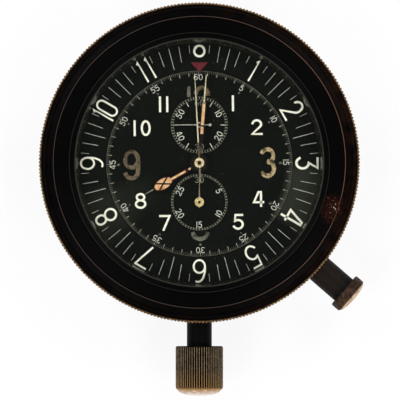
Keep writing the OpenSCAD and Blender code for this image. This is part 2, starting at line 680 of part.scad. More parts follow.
module crown_wheel() color("#a5a5a0") {
    plain_wheel(crown_p, spur_n, spur_m, 0, under_z - 0.8, 0.6);
    pin(crown_p, 0.8, under_z - 0.3, bridge_z + 1);
    pin(crown_p, 2.8, bridge_z + 0.7, bridge_z + 1.2);
    tip_z = stem_z - winding_n * winding_m / 2 + 0.1;
    for (i = [0 : face_n - 1]) at(crown_p, bridge_z + 1.1) rotate([0, 0, 90 + (i + 0.5) * 360 / face_n])
        translate([2.15, -0.12, 0]) cube([0.5, 0.24, tip_z - bridge_z - 1.1]);
}

module winding_idler() color("#a5a5a0") {
    plain_wheel(idler_p, idler_n, spur_m, idler_t, under_z - 0.8, 0.6);
    pin(idler_p, 0.6 - run_clear, under_z - 0.3, under_z + 0.9);
}

module click() color("#97989c") {
    tip = barrel_p + polar(ratchet_n * spur_m / 2 + 0.75, 195);
    bar(click_p, tip, 1, under_z - 0.8, 0.6);
    pin(click_p, 0.6 - run_clear, under_z - 0.4, under_z + 0.9);
}

module click_spring() color("#77797f") {
    bar([-18.3, -7.4], [-17.2, -8.2], 1.4, under_z - 0.6, 0.6);
    bar([-17.2, -8.2], [-16.2, -5.3], 0.3, under_z - 0.6, 0.4);
}

module lying_pinion(n, m, y0, y1) translate([0, -y0, stem_z]) rotate([90, 0, 0]) linear_extrude(y1 - y0)
    rotate(-90) polygon(wheel_outline(n, m, 0.34, 0.7));

module winding_pinion() color("#9d9d99") difference() {
    union() {
        lying_pinion(winding_n, winding_m, 14.4, 15);
        lying(1.3, 14.3, 16.2);
        for (i = [0 : 5]) translate([0, -14.35, stem_z]) rotate([90, i * 60, 0])
            translate([0.95, -0.12, -0.2]) cube([0.35, 0.24, 0.2]);
    }
    lying(stem_r + run_clear, 14, 17);
}

module sliding_pinion() color("#9d9d99") difference() {
    union() {
        lying(1.3, 12.9, 14.1);
        lying(0.98, 12.4, 13);
        lying(1.3, 11.8, 12.45);
    }
    translate([-0.7, -15, stem_z - 0.7]) cube([1.4, 6, 1.4]);
    for (i = [0 : 5]) translate([0, -14.11, stem_z]) rotate([90, i * 60, 0])
        translate([0.9, -0.18, -0.25]) cube([0.6, 0.36, 0.3]);
}

module setting_lever() color("#a0a19f") {
    bar(setting_p, [0, setting_p[1]], 1.3, plate_top - 0.7, 0.5);
    pin(setting_p, 0.6 - run_clear, plate_top - 1.4, plate_top - 0.5);
    pin([0, setting_p[1]], 0.35, stem_z + 0.65, plate_top - 0.6);
}

module center_wheel() color("#c8a75c") difference() {
    union() {
        wheel(centre_p, centre_n, centre_m, 0, plate_z - 0.6, 0.4, 1.8);
        pinion(centre_p, centre_leaf, barrel_m, barrel_t, bridge_z + 0.3, 2.3);
        pin(centre_p, 0.9, under_z + 0.1, dial_z + 1.9);
        pin(centre_p, 1.1, bridge_z + 2.5, plate_z - 0.3);
    }
    bore(centre_p, 0.44 + run_clear);
}

module third_wheel() color("#c8a75c") {
    arbor(third_p, bridge_z + 0.1, plate_z - 0.1);
    pinion(third_p, third_leaf, centre_m, centre_t, plate_z - 0.75, 0.65);
    wheel(third_p, third_n, third_m, 0, bridge_z + 1.4, 0.3, 1.2);
}

module fourth_wheel() color("#c8a75c") {
    pin(fourth_p, arbor_r, under_z - 1.8, dial_z + 0.6);
    pinion(fourth_p, fourth_leaf, third_m, third_t, bridge_z + 1.2, 0.7);
    wheel(fourth_p, fourth_n, fourth_m, 0, bridge_z + 2.3, 0.3, 1.2);
    wheel(fourth_p, drive_n, chrono_m, 0, under_z - 1.6, 0.3, 1);
}

module escape_wheel() color("#b9b9b4") {
    arbor(escape_p, bridge_z + 0.1, plate_z - 0.1);
    pinion(escape_p, escape_leaf, fourth_m, fourth_t, bridge_z + 2.15, 0.6);
    at(escape_p, bridge_z + 1.65) rotate([0, 0, escape_t]) linear_extrude(0.3)
        polygon(saw_outline(escape_n, escape_r, 0.8));
}

module pallet_fork() color("#b0b0ac") {
    line = bearing(escape_p, pallet_p);
    arbor(pallet_p, bridge_z + 1.55, plate_z - 0.1);
    for (s = [-1, 1]) {
        stone = escape_p + polar(escape_r + 0.38, line + s * 30);
        bar(pallet_p, stone, 0.5, bridge_z + 1.65, 0.3);
        at(stone, bridge_z + 1.65) rotate([0, 0, line + s * 30])
            translate([-0.32, -0.16, 0]) cube([0.6, 0.32, 0.3]);
    }
    bar(pallet_p, pallet_p + polar(2.4, line), 0.5, bridge_z + 1.65, 0.3);
    for (s = [-1, 1])
        bar(pallet_p + polar(2.3, line), pallet_p + polar(2.9, line + s * 9), 0.36, bridge_z + 1.65, 0.3);
}

module balance_wheel() color("#cbb06a") {
    pin(balance_p, 0.4, under_z + 0.5, plate_z - 0.1);
    pin(balance_p, 0.2, under_z, plate_z + 0.4);
    tube(balance_p, balance_r, balance_r - 0.6, bridge_z + 0.25, bridge_z + 0.85);
    for (a = [30, 90, 150]) at(balance_p, bridge_z + 0.35) rotate([0, 0, a])
        translate([-balance_r + 0.3, -0.35, 0]) cube([2 * balance_r - 0.6, 0.7, 0.4]);
    pin(balance_p, 0.85, bridge_z + 2.2, bridge_z + 2.6);
    pin(balance_p + polar(0.6, 172 + 180), 0.15, bridge_z + 2.05, bridge_z + 2.3);
}

module hairspring() color("#3f5f9a") at(balance_p, under_z + 0.75) linear_extrude(0.3)
    polygon(spiral(0.7, 3.6, hair_turns, 0.09));

module cannon_pinion() color("#a8a8a4") difference() {
    union() {
        pinion(centre_p, cannon_n, cannon_m, minute_t, plate_top - 1.3, 0.7);
        pin(centre_p, 1.2, plate_top - 1.3, dial_z + 2.4);
    }
    bore(centre_p, 0.92);
}

module minute_wheel() color("#c2a258") {
    wheel(minute_p, minute_n, cannon_m, 0, plate_top - 1.2, 0.4, 1.6);
    pinion(minute_p, minute_leaf, hour_m, hour_t, plate_top - 0.9, 1.2);
    pin(minute_p, 0.6, plate_top - 1.35, plate_top + 0.4);
}

module hour_wheel() color("#c2a258") difference() {
    union() {
        wheel(centre_p, hour_n, hour_m, 0, plate_top - 0.3, 0.4, 2.2);
        pin(centre_p, 1.8, plate_top - 0.3, dial_z + 1.1);
    }
    bore(centre_p, 1.2 + run_clear);
}

// Hands point along their angle. The flat pieces are drawn along X.
module hand(p, a, z) at(p, z) rotate([0, 0, a]) linear_extrude(hand_t) children();
// The hour hand's leaf, as wide as half at its middle
module leaf(from, to, half)
    polygon([for (i = [0 : 23]) [from + (to - from) * (1 - cos(i * 15)) / 2, half * sin(i * 15)]]);
// A bar along X that is cut to a point's width at its ends
module strip(from, to, w0, w1) polygon([[from, w0], [to, w1], [to, -w1], [from, -w0]]);

module hour_hand() color("#2a1d14") difference() {
    union() {
        hand(centre_p, hour_a, dial_z + 0.75) difference() {
            union() {
                strip(1, hour_bar + 0.1, 0.35, 0.3);
                strip(hour_bar, leaf_from + 0.6, hour_bar_w, hour_bar_w);
                leaf(leaf_from, leaf_to, leaf_w);
                strip(leaf_to - 0.3, hour_len, 0.16, 0.06);
            }
            strip(hour_bar + 2 * frame_w, leaf_from + 3 * frame_w, hour_bar_w - frame_w,
                hour_bar_w - frame_w);
            difference() {
                leaf(leaf_from + 1.5 * frame_w, leaf_to - 1.5 * frame_w, leaf_w - frame_w);
                for (a = [31, -31]) translate([(leaf_from + leaf_to) / 2, 0]) rotate(a)
                    square([leaf_to - leaf_from, 1.5 * frame_w], center = true);
            }
        }
        pin(centre_p, 2.3, dial_z + 0.65, dial_z + 1.1);
    }
    bore(centre_p, 1.8);
}

module minute_hand() color("#8d7440") difference() {
    union() {
        hand(centre_p, minute_a, dial_z + 1.9) difference() {
            union() {
                strip(1, minute_bar + 0.1, 0.3, 0.25);
                strip(minute_bar, minute_bar_end, minute_bar_w, minute_bar_w);
                strip(minute_bar_end - 0.1, minute_len, 0.2, 0.1);
            }
            strip(minute_bar + frame_w, minute_bar + 2.2, minute_bar_w - frame_w, minute_bar_w - frame_w);
            strip(minute_bar + 2.2 + frame_w, minute_bar_end - frame_w, minute_bar_w - frame_w,
                minute_bar_w - frame_w);
        }
        pin(centre_p, 1.7, dial_z + 1.8, dial_z + 2.4);
    }
    bore(centre_p, 1.2);
}

module chronograph_hand() color("#b99a55") difference() {
    union() {
        hand(centre_p, sweep_a, dial_z + 3) {
            strip(-sweep_tail, 0.1, 0.22, 0.2);
            strip(0, sweep_len, 0.2, 0.07);
        }
        pin(centre_p, 1.2, dial_z + 2.8, dial_z + 3.6);
    }
    bore(centre_p, 0.44);
}

module seconds_hand() color("#cbb27a") difference() {
    union() {
        hand(fourth_p, seconds_a, dial_z + 0.2) {
            strip(-seconds_tail, 0.1, 0.1, 0.14);
            strip(0, seconds_len, 0.14, 0.05);
            translate([-seconds_tail, 0]) circle(r = 0.36);
        }
        pin(fourth_p, 0.75, dial_z, dial_z + 0.6);
    }
    bore(fourth_p, arbor_r);
}

module counter_hand() color("#cbb27a") difference() {
    union() {
        hand(count_p, counter_a, dial_z + 0.2) {
            strip(-1.4, 0.1, 0.2, 0.2);
            strip(0, counter_len, 0.2, 0.07);
        }
        pin(count_p, 1.15, dial_z, dial_z + 0.6);
    }
    bore(count_p, arbor_r);
}

module chronograph_wheel() color("#c8a75c") {
    pin(centre_p, 0.44, works_z + 0.1, dial_z + 3.6);
    pin(centre_p, 0.3, works_z - 0.7, works_z + 0.2);
    wheel(centre_p, runner_n, chrono_m, runner_t, under_z - 1.6, 0.3, 1);
    finger = sub_off - spacing(count_n, count_idler_n, count_m) - count_idler_n * count_m / 2 - 0.3;
    at(centre_p, under_z - 2.3) rotate([0, 0, 30]) translate([0, -0.25, 0]) cube([finger, 0.5, 0.3]);
    pin(centre_p, 0.9, under_z - 3, under_z - 1.5);
    heart(centre_p, 180, under_z - 3, 0.4);
}

module coupling_wheel() color("#c8a75c") {
    pinion(coupling_p, coupling_n, chrono_m, coupling_t, under_z - 1.6, 0.3);
    pin(coupling_p, arbor_r, under_z - 1.9, under_z - 0.5);
}

module coupling_lever() color("#a3a4a6") difference() {
    union() {
        bar(coupling_pivot, coupling_p, 1.5, under_z - 0.9, 0.6);
        bar(coupling_p, coupling_p + polar(3.4, coupling_a - 45), 1.2, under_z - 0.9, 0.6);
        pin(coupling_pivot, 0.5 - run_clear, under_z - 0.5, under_z + 0.9);
    }
    pin(coupling_p, arbor_r + run_clear, under_z - 1, under_z - 0.4);
}

module counter_idler() color("#c8a75c") {
    plain_wheel(count_idler_p, count_idler_n, count_m, count_t, under_z - 2.3, 0.3);
    pin(count_idler_p, 0.5 - run_clear, under_z - 2.2, under_z + 0.9);
}

module counter_wheel() color("#c8a75c") {
    pin(count_p, arbor_r, works_z + 0.1, dial_z + 0.6);
    pin(count_p, 0.3, works_z - 0.7, works_z + 0.2);
    plain_wheel(count_p, count_n, count_m, 0, under_z - 2.3, 0.3);
    pin(count_p, 0.8, under_z - 3, under_z - 2.2);
    heart(count_p, 180, under_z - 3, 0.4);
}

module column_wheel() color("#8d9096") {
    at(column_p, under_z - 1) linear_extrude(0.5) polygon(saw_outline(column_n, 2.3, 0.5));
    for (i = [0 : 5]) at(column_p, under_z - 2.4) rotate([0, 0, i * 60])
        translate([1, -0.35, 0]) cube([0.8, 0.7, 1.5]);
    pin(column_p, 1.05, under_z - 2.4, under_z - 0.9);
    pin(column_p, 0.5 - run_clear, under_z - 0.6, under_z + 0.9);
}

module operating_lever() color("#9b9da1") {
    tip = lever_p + polar(norm(lever_p - column_p) - 3.15, bearing(lever_p, column_p) + 5);
    bar(lever_p, post_p, 1.8, under_z - 1.1, 0.6);
    bar(lever_p, tip, 1.2, under_z - 1.1, 0.6);
    pin(post_p, post_r, under_z - 0.6, stem_z + 0.8);
    pin(lever_p, 0.5 - run_clear, under_z - 0.6, under_z + 0.9);
}

module reset_hammer() color("#9b9da1") {
    low = count_p + [-3.6, 0];
    high = centre_p + [-2.75, 0];
    bar(hammer_p, [-4.4, 0], 1.4, under_z - 3, 0.4);
    bar([-4.4, 0], low - [0.6, 0], 1.2, under_z - 3, 0.4);
    bar([-4.4, 0], high, 1, under_z - 3, 0.4);
    bar(low - [0.6, 0], low, 1.4, under_z - 3, 0.4);
    pin(hammer_p, 0.5 - run_clear, under_z - 2.8, under_z + 0.9);
}

case_body();
back_cover();
back_gasket();
bezel();
bezel_wire();
crystal();
crystal_ring();
hour_ring();
dial();
crown_tube();
crown();
winding_stem();
pusher_tube();
pusher();
pusher_spring();
movement_ring();
case_clamps();
main_plate();
barrel_bridge();
train_bridge();
balance_cock();
pallet_bridge();
chronograph_bridge();
bridge_screws();
jewels();
barrel();
mainspring();
barrel_arbor();
ratchet_wheel();
crown_wheel();
winding_idler();
click();
click_spring();
winding_pinion();
sliding_pinion();
setting_lever();
center_wheel();
third_wheel();
fourth_wheel();
escape_wheel();
pallet_fork();
balance_wheel();
hairspring();
cannon_pinion();
minute_wheel();
hour_wheel();
hour_hand();
minute_hand();
chronograph_hand();
seconds_hand();
counter_hand();
chronograph_wheel();
coupling_wheel();
coupling_lever();
counter_idler();
counter_wheel();
column_wheel();
operating_lever();
reset_hammer();
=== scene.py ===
# %% [markdown]
# A cockpit clock with a turning bezel, a chronograph hand and two small dials, seen almost straight from
# above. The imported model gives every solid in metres. This lesson adds what solids do not carry: the
# printing on the dial and the ring, the glowing paint in the hands, and a finish for every surface.

# %% Load the frame
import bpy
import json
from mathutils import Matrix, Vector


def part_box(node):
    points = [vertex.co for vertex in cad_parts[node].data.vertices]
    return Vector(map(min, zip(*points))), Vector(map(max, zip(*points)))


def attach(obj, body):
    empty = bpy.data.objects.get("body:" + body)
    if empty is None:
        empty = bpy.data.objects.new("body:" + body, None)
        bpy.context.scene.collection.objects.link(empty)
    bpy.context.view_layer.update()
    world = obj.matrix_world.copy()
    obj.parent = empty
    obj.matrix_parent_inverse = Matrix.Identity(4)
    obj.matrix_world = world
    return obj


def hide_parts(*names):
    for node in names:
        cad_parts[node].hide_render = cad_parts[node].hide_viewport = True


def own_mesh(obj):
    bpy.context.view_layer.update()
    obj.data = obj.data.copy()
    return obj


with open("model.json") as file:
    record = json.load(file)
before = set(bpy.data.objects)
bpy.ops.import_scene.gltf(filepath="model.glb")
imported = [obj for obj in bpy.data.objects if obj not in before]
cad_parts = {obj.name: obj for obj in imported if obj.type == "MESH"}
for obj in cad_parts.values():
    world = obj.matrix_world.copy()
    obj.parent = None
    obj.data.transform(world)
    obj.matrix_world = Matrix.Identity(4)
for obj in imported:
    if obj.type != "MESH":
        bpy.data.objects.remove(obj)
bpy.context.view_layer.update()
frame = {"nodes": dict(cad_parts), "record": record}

import json
import math
import random

import bmesh
import bpy
from mathutils import Matrix, Vector

MM = 0.001
scene = bpy.context.scene
nodes = frame["nodes"]
print("nodes loaded:", len(nodes))

# %% [markdown]
# The photograph was taken from far away with a long lens: neither the crown nor the pusher shows its
# inner end, which a near camera would show. The camera also stands a little towards the crown, so the
# dial, which lies deeper, sits slightly lower inside the bezel. A tilted camera gives that directly.
# The lens follows from the width that the picture covers at the height of the bezel.

# %% Camera
SENSOR = 36.0
LOOK_AT = Vector((0.165, -9.48, 25.0))
CAMERA_FAR = 900.0
CAMERA_TILT = math.radians(2.3)
SEEN_WIDTH = 100.1
CLIP_NEAR = 0.01
to_camera = Vector((0, -math.sin(CAMERA_TILT), math.cos(CAMERA_TILT)))
camera = bpy.data.objects.new("camera", bpy.data.cameras.new("camera"))
camera.data.sensor_width = SENSOR
camera.data.lens = SENSOR * CAMERA_FAR / SEEN_WIDTH
camera.data.clip_start = CLIP_NEAR
camera.location = (LOOK_AT + CAMERA_FAR * to_camera) * MM
camera.rotation_euler = (CAMERA_TILT, 0, 0)
scene.collection.objects.link(camera)
scene.camera = camera
print("lens in mm:", round(camera.data.lens, 2))

# %% [markdown]
# Colours are written as they would be picked on a screen and turned to linear light once, here.
# Nodes are added by one small function, which sets a node up and links it in the same call. A node that
# is given as a value stands for its first output in use, so most links need no socket name.

# %% Colour and nodes
MATH, VECTOR_MATH, RANGE = "ShaderNodeMath", "ShaderNodeVectorMath", "ShaderNodeMapRange"
NOISE, BUMP, MIX = "ShaderNodeTexNoise", "ShaderNodeBump", "ShaderNodeMix"
USUAL = {MIX: {"data_type": "RGBA"}}  # every Mix node here blends colours
FAC, A, B = 0, 6, 7  # its factor and its two colours, names that it has once for each type


def linear(code):
    """The linear colour, with full alpha, of an sRGB hex code."""
    parts = [int(code[i:i + 2], 16) / 255 for i in (1, 3, 5)]
    return tuple(p / 12.92 if p <= 0.04045 else ((p + 0.055) / 1.055) ** 2.4 for p in parts) + (1.0,)


def wire(tree, node, links):
    """Gives each input of a node a constant, an output, or the first output in use of another node."""
    for socket, value in links.items():
        if isinstance(value, bpy.types.Node):
            value = next(out for out in value.outputs if out.enabled)
        if isinstance(value, bpy.types.NodeSocket):
            tree.links.new(value, node.inputs[socket])
        else:
            node.inputs[socket].default_value = value
    return node


def add(tree, kind, links, **settings):
    """Adds one node with its usual settings, its own settings and its links."""
    node = tree.nodes.new(kind)
    for name, value in {**USUAL.get(kind, {}), **settings}.items():
        setattr(node, name, value)
    return wire(tree, node, links)


# %% A new finish
def new_finish(name):
    """A material with its node tree, its main shader and its Object coordinates."""
    material = bpy.data.materials.new(name)
    material.use_nodes = True
    tree = material.node_tree
    spot = add(tree, "ShaderNodeTexCoord", {}).outputs["Object"]
    return material, tree, tree.nodes["Principled BSDF"], spot


def per_mm(size):
    """The texture scale whose features are about this many millimetres across."""
    return 1.0 / (size * MM)


print("mid grey is", [round(c, 3) for c in linear("#808080")])

# %% [markdown]
# The clock lies on white paper that curves up far behind it. The paper shows white to the camera, to
# metal and to glass by its own glow, and a part of it stays plain white paint, which takes the shadow.

# %% Turned shapes
def as_object(name, bm):
    """A new object of the scene that takes over a finished mesh."""
    mesh = bpy.data.meshes.new(name)
    bm.to_mesh(mesh)
    bm.free()
    thing = bpy.data.objects.new(name, mesh)
    scene.collection.objects.link(thing)
    return thing


def turned(name, profile, steps):
    """A lathe shape round the z axis from (radius, height) pairs in metres, the first on the axis."""
    bm = bmesh.new()
    tip = bm.verts.new((0, 0, profile[0][1]))
    angles = [2 * math.pi * k / steps for k in range(steps)]
    rings = [[bm.verts.new((radius * math.cos(a), radius * math.sin(a), height)) for a in angles]
             for radius, height in profile[1:]]
    for k in range(steps):
        bm.faces.new((tip, rings[0][k], rings[0][(k + 1) % steps]))
        for low, high in zip(rings, rings[1:]):
            bm.faces.new((low[k], high[k], high[(k + 1) % steps], low[(k + 1) % steps]))
    return as_object(name, bm)


# %% Paper
PAPER_PROFILE = ((0, -0.0001), (2.2, -0.0001), (2.6, 0.08), (2.9, 0.35), (3.0, 1.0))
GLOW_SHARE = 0.9
paper = turned("paper", PAPER_PROFILE, 96)
white, tree, shader, spot = new_finish("white_paper")
# Matt white paper: no gloss at all, and a faint tooth that only a close view would show.
tooth = add(tree, NOISE, {"Vector": spot, "Scale": per_mm(2.0)})
tone = add(tree, MIX, {FAC: tooth, A: linear("#f2f2f2"), B: linear("#f6f6f6")})
wire(tree, shader, {"Base Color": tone, "Roughness": 1.0, "Specular IOR Level": 0.0})
path = add(tree, "ShaderNodeLightPath", {})
sees = path.outputs["Is Camera Ray"]
for ray in ("Is Glossy Ray", "Is Transmission Ray"):
    sees = add(tree, MATH, {0: sees, 1: path.outputs[ray]}, operation="MAXIMUM")
share = add(tree, MATH, {0: sees, 1: GLOW_SHARE}, operation="MULTIPLY")
glow = add(tree, "ShaderNodeEmission", {"Color": linear("#ffffff"), "Strength": 1.0})
both = add(tree, "ShaderNodeMixShader", {0: share, 1: shader, 2: glow})
wire(tree, tree.nodes["Material Output"], {"Surface": both})
paper.data.materials.append(white)
print("paper reaches", round(max(v.co.z for v in paper.data.vertices), 2), "m up")

# %% [markdown]
# Four soft lamps stand round the clock, high enough to light the dial behind the bezel and far enough
# from the axis that the crystal does not mirror them to the camera. Their power gives a white card
# facing up about full white, so a colour renders about as it is written.

# %% Lamps
LAMP_FAR = 0.9
LAMP_SIZE = 0.36
LAMP_TILT = math.radians(38)
WORLD_LEVEL = 0.03
power = (1 - WORLD_LEVEL) * math.pi * LAMP_FAR ** 2 / math.cos(LAMP_TILT)
out, up = math.sin(LAMP_TILT), math.cos(LAMP_TILT)
for turn in (45, 135, 225, 315):
    lamp_data = bpy.data.lights.new("lamp_%d" % turn, "AREA")
    lamp_data.shape = "DISK"
    lamp_data.size = LAMP_SIZE
    lamp_data.energy = power
    lamp = bpy.data.objects.new(lamp_data.name, lamp_data)
    way = Vector((out * math.cos(math.radians(turn)), out * math.sin(math.radians(turn)), up))
    lamp.location = way * LAMP_FAR
    lamp.rotation_euler = way.to_track_quat("Z", "Y").to_euler()
    scene.collection.objects.link(lamp)
world = bpy.data.worlds.new("dim_room")
world.use_nodes = True
sky = world.node_tree.nodes["Background"]
wire(world.node_tree, sky, {"Color": linear("#ffffff"), "Strength": WORLD_LEVEL})
scene.world = world
scene.view_settings.view_transform = "Standard"
print("power of each lamp in W:", round(power, 2))

# %% [markdown]
# The bezel is brass with a black stoved enamel. Years of turning have worn it: brass shows at the tips
# of the knurling, the outer band is browned on the right, and one patch between the two ridges is bare.
# Each kind of wear is a mask worked out from where a point lies, and so are the thin painted highlights
# along the two ridges and the edge of the opening, so each keeps its place when the bezel turns with its
# own mesh.

# %% Bezel enamel
def from_axis(tree, spot):
    """A point laid flat in the plane of the dial, and its distance from the axis."""
    flat = add(tree, VECTOR_MATH, {0: spot, 1: (1, 1, 0)}, operation="MULTIPLY")
    return flat, add(tree, VECTOR_MATH, {0: flat}, operation="LENGTH")


BAND, TIPS, RIM = (36.7, 39.6), (40.02, 40.24), (39.6, 40.15)  # radii where each wear starts and is full
RIDGE, LIP, EDGE = (36.55, 0.08), (32.6, 0.1), (31.1, 0.2)  # middle and half width of each painted highlight line
PATCH_AT, PATCH_HALF, PATCH_TURN = (33.2, -11.8), (2.7, 4.2), math.radians(-19)
KNURL_TOP = 24.2
bezel_black, tree, shader, spot = new_finish("stoved_enamel_worn")
# Stoved enamel: a thick satin black skin, dark in the flats, that wears through to brown and then brass.
flat, radius = from_axis(tree, spot)
fine, blot = (
    add(tree, NOISE, {"Vector": spot, "Scale": per_mm(size), "Detail": 5.0})
    for size in (0.5, 3.0))
band, tips, rim = (
    add(tree, RANGE, {"Value": radius, "From Min": start * MM, "From Max": full * MM})
    for start, full in (BAND, TIPS, RIM))
black = add(tree, MIX, {FAC: blot, A: linear("#010101"), B: linear("#040303")})
# Browning: strongest towards three o'clock, only on the band outside the ridge.
facing = add(tree, VECTOR_MATH, {0: flat}, operation="NORMALIZE")
right = add(tree, VECTOR_MATH, {0: facing, 1: (0.98, 0.1, 0)}, operation="DOT_PRODUCT")
right = add(tree, RANGE, {"Value": right, "From Min": 0.1, "From Max": 0.95, "To Min": 0.15, "To Max": 1.0})
patchy = add(tree, RANGE, {"Value": blot, "From Min": 0.38, "From Max": 0.66})
brown = add(tree, MATH, {0: right, 1: band}, operation="MULTIPLY")
brown = add(tree, MATH, {0: brown, 1: patchy}, operation="MULTIPLY")
colour = add(tree, MIX, {FAC: brown, A: black, B: linear("#1f0f07")})

# %% Bezel ridge highlights and bare patch
# Painted highlights: the two ridges show as thin light lines, the outer one browner to the right,
# and the edge of the opening has a grey painted glint.
highlight_tone = add(tree, MIX, {FAC: right, A: linear("#383330"), B: linear("#66493a")})
for (middle, half), tone in ((RIDGE, highlight_tone), (LIP, linear("#1e1b19")), (EDGE, linear("#2c2d29"))):
    line = add(tree, MATH, {0: radius, 1: middle * MM, 2: half * MM}, operation="COMPARE")
    colour = add(tree, MIX, {FAC: line, A: colour, B: tone})
# The bare patch: primer with flecks of brass, about 6 by 8 mm, brightest in its middle.
local = add(tree, "ShaderNodeMapping", {
    "Vector": flat, "Location": (PATCH_AT[0] * MM, PATCH_AT[1] * MM, 0), "Rotation": (0, 0, PATCH_TURN),
    "Scale": (PATCH_HALF[0] * MM, PATCH_HALF[1] * MM, 1)}, vector_type="TEXTURE")
away = add(tree, VECTOR_MATH, {0: local}, operation="LENGTH")
away = add(tree, MATH, {0: away, 1: blot}, operation="ADD")
patch, core = (
    add(tree, RANGE, {"Value": away, "From Min": start, "From Max": full})
    for start, full in ((1.6, 0.8), (1.0, 0.6)))
colour = add(tree, MIX, {FAC: patch, A: colour, B: linear("#1e0b05")})
chips = add(tree, NOISE, {"Vector": spot, "Scale": per_mm(0.55), "Detail": 4.0})
fleck = add(tree, RANGE, {"Value": chips, "From Min": 0.58, "From Max": 0.68})
fleck = add(tree, MATH, {0: fleck, 1: patch}, operation="MULTIPLY")
metal = add(tree, MIX, {FAC: core, A: linear("#80492f"), B: linear("#f2dccb")})
colour = add(tree, MIX, {FAC: fleck, A: colour, B: metal})

# %% Bezel knurling
# The tips of the knurling show brass, unevenly, and so does its upper edge.
z = add(tree, "ShaderNodeSeparateXYZ", {"Vector": spot}).outputs["Z"]
top = add(tree, RANGE, {
    "Value": z, "From Min": (KNURL_TOP - 0.3) * MM, "From Max": (KNURL_TOP - 0.02) * MM})
rim = add(tree, MATH, {0: rim, 1: top}, operation="MULTIPLY")
tips = add(tree, MATH, {0: tips, 1: rim}, operation="MAXIMUM")
uneven = add(tree, RANGE, {"Value": fine, "From Min": 0.35, "From Max": 0.6, "To Min": 0.2, "To Max": 1.0})
tips = add(tree, MATH, {0: tips, 1: uneven}, operation="MULTIPLY")
colour = add(tree, MIX, {FAC: tips, A: colour, B: linear("#8f704c")})
rough = add(tree, RANGE, {"Value": fine, "To Min": 0.32, "To Max": 0.5})
peel = add(tree, BUMP, {"Height": fine, "Strength": 0.05, "Distance": 0.05 * MM})
wire(tree, shader, {"Base Color": colour, "Roughness": rough, "Normal": peel, "Specular IOR Level": 0.02})
print("bezel finish has", len(tree.nodes), "nodes")

# %% [markdown]
# The drum, the back and the tubes have the same enamel with little wear, so one plain version serves
# them. The wall ring under the crystal is a little glossier and has greyed: it mirrors the ticks beside it.

# %% Plain enamel and the wall ring
case_black, tree, shader, spot = new_finish("stoved_enamel")
# Stoved enamel again: satin black with an orange peel of about half a millimetre and a few rubbed spots.
fine = add(tree, NOISE, {"Vector": spot, "Scale": per_mm(0.5), "Detail": 4.0})
blot = add(tree, NOISE, {"Vector": spot, "Scale": per_mm(6.0), "Detail": 5.0})
rub = add(tree, RANGE, {"Value": blot, "From Min": 0.6, "From Max": 0.75})
tone = add(tree, MIX, {FAC: fine, A: linear("#050404"), B: linear("#0a0807")})
tone = add(tree, MIX, {FAC: rub, A: tone, B: linear("#1f140e")})
rough = add(tree, RANGE, {"Value": fine, "To Min": 0.4, "To Max": 0.6})
peel = add(tree, BUMP, {"Height": fine, "Strength": 0.1, "Distance": 0.05 * MM})
wire(tree, shader, {"Base Color": tone, "Roughness": rough, "Normal": peel, "Specular IOR Level": 0.05})

wall_black, tree, shader, spot = new_finish("lacquered_wall")
# Semi-gloss lacquer, greyed and yellowed in patches: it still mirrors the ends of the ticks softly.
dust = add(tree, NOISE, {"Vector": spot, "Scale": per_mm(2.5), "Detail": 5.0})
patch = add(tree, RANGE, {"Value": dust, "From Min": 0.4, "From Max": 0.65})
tone = add(tree, MIX, {FAC: patch, A: linear("#161712"), B: linear("#2e2b20")})
rough = add(tree, RANGE, {"Value": dust, "To Min": 0.16, "To Max": 0.32})
wire(tree, shader, {"Base Color": tone, "Roughness": rough, "IOR": 1.5, "Specular IOR Level": 0.4})
print("plain enamel and wall lacquer made")

# %% [markdown]
# Dial and ring are brass plates with a matt black lacquer that has aged to a faint green. Dust lies on
# it in small specks. The specks are cells of a Voronoi pattern of which only some are lit.

# %% Dial lacquer
GREYER = (  # direction, half angles where it starts and is full, radii where it starts and is full, share
    ((0.954, -0.299, 0), 19, 12, 21.3, 23.3, 1.0),
    ((-0.883, -0.469, 0), 17, 6, 9.0, 25.0, 0.5),
)
SPECK_SIZE, SPECK_RARE = 0.06, 0.72
dial_black, tree, shader, spot = new_finish("matt_lacquer")
# Matt nitrocellulose lacquer: nearly no gloss, a fine grain, and a little dust.
grain, cloud = (
    add(tree, NOISE, {"Vector": spot, "Scale": per_mm(size), "Detail": 3.0})
    for size in (0.35, 7.0))
tone = add(tree, MIX, {FAC: grain, A: linear("#060706"), B: linear("#0b0d0b")})
tone = add(tree, MIX, {FAC: cloud, A: tone, B: linear("#0d100d")})
# It is greyer on the ring towards four o'clock, and less so across the dial towards eight.
flat, radius = from_axis(tree, spot)
facing = add(tree, VECTOR_MATH, {0: flat}, operation="NORMALIZE")
for way, wide, core, inner, outer, share in GREYER:
    toward = add(tree, VECTOR_MATH, {0: facing, 1: way}, operation="DOT_PRODUCT")
    toward = add(tree, RANGE, {
        "Value": toward, "From Min": math.cos(math.radians(wide)),
        "From Max": math.cos(math.radians(core)), "To Max": share})
    far = add(tree, RANGE, {"Value": radius, "From Min": inner * MM, "From Max": outer * MM})
    grey = add(tree, MATH, {0: toward, 1: far}, operation="MULTIPLY")
    tone = add(tree, MIX, {FAC: grey, A: tone, B: linear("#292b24")})
cells = add(tree, "ShaderNodeTexVoronoi", {"Vector": spot, "Scale": per_mm(2.0)})
near = add(tree, MATH, {0: cells.outputs["Distance"], 1: SPECK_SIZE}, operation="LESS_THAN")
chance = add(tree, "ShaderNodeSeparateXYZ", {"Vector": cells.outputs["Color"]})
lit = add(tree, MATH, {0: chance, 1: SPECK_RARE}, operation="GREATER_THAN")
speck = add(tree, MATH, {0: near, 1: lit}, operation="MULTIPLY")
tone = add(tree, MIX, {FAC: speck, A: tone, B: linear("#55544a")})
rough = add(tree, RANGE, {"Value": grain, "To Min": 0.6, "To Max": 0.8})
tooth = add(tree, BUMP, {"Height": grain, "Strength": 0.1, "Distance": 0.02 * MM})
wire(tree, shader, {"Base Color": tone, "Roughness": rough, "Normal": tooth, "Specular IOR Level": 0.02})
print("dial finish has", len(tree.nodes), "nodes")

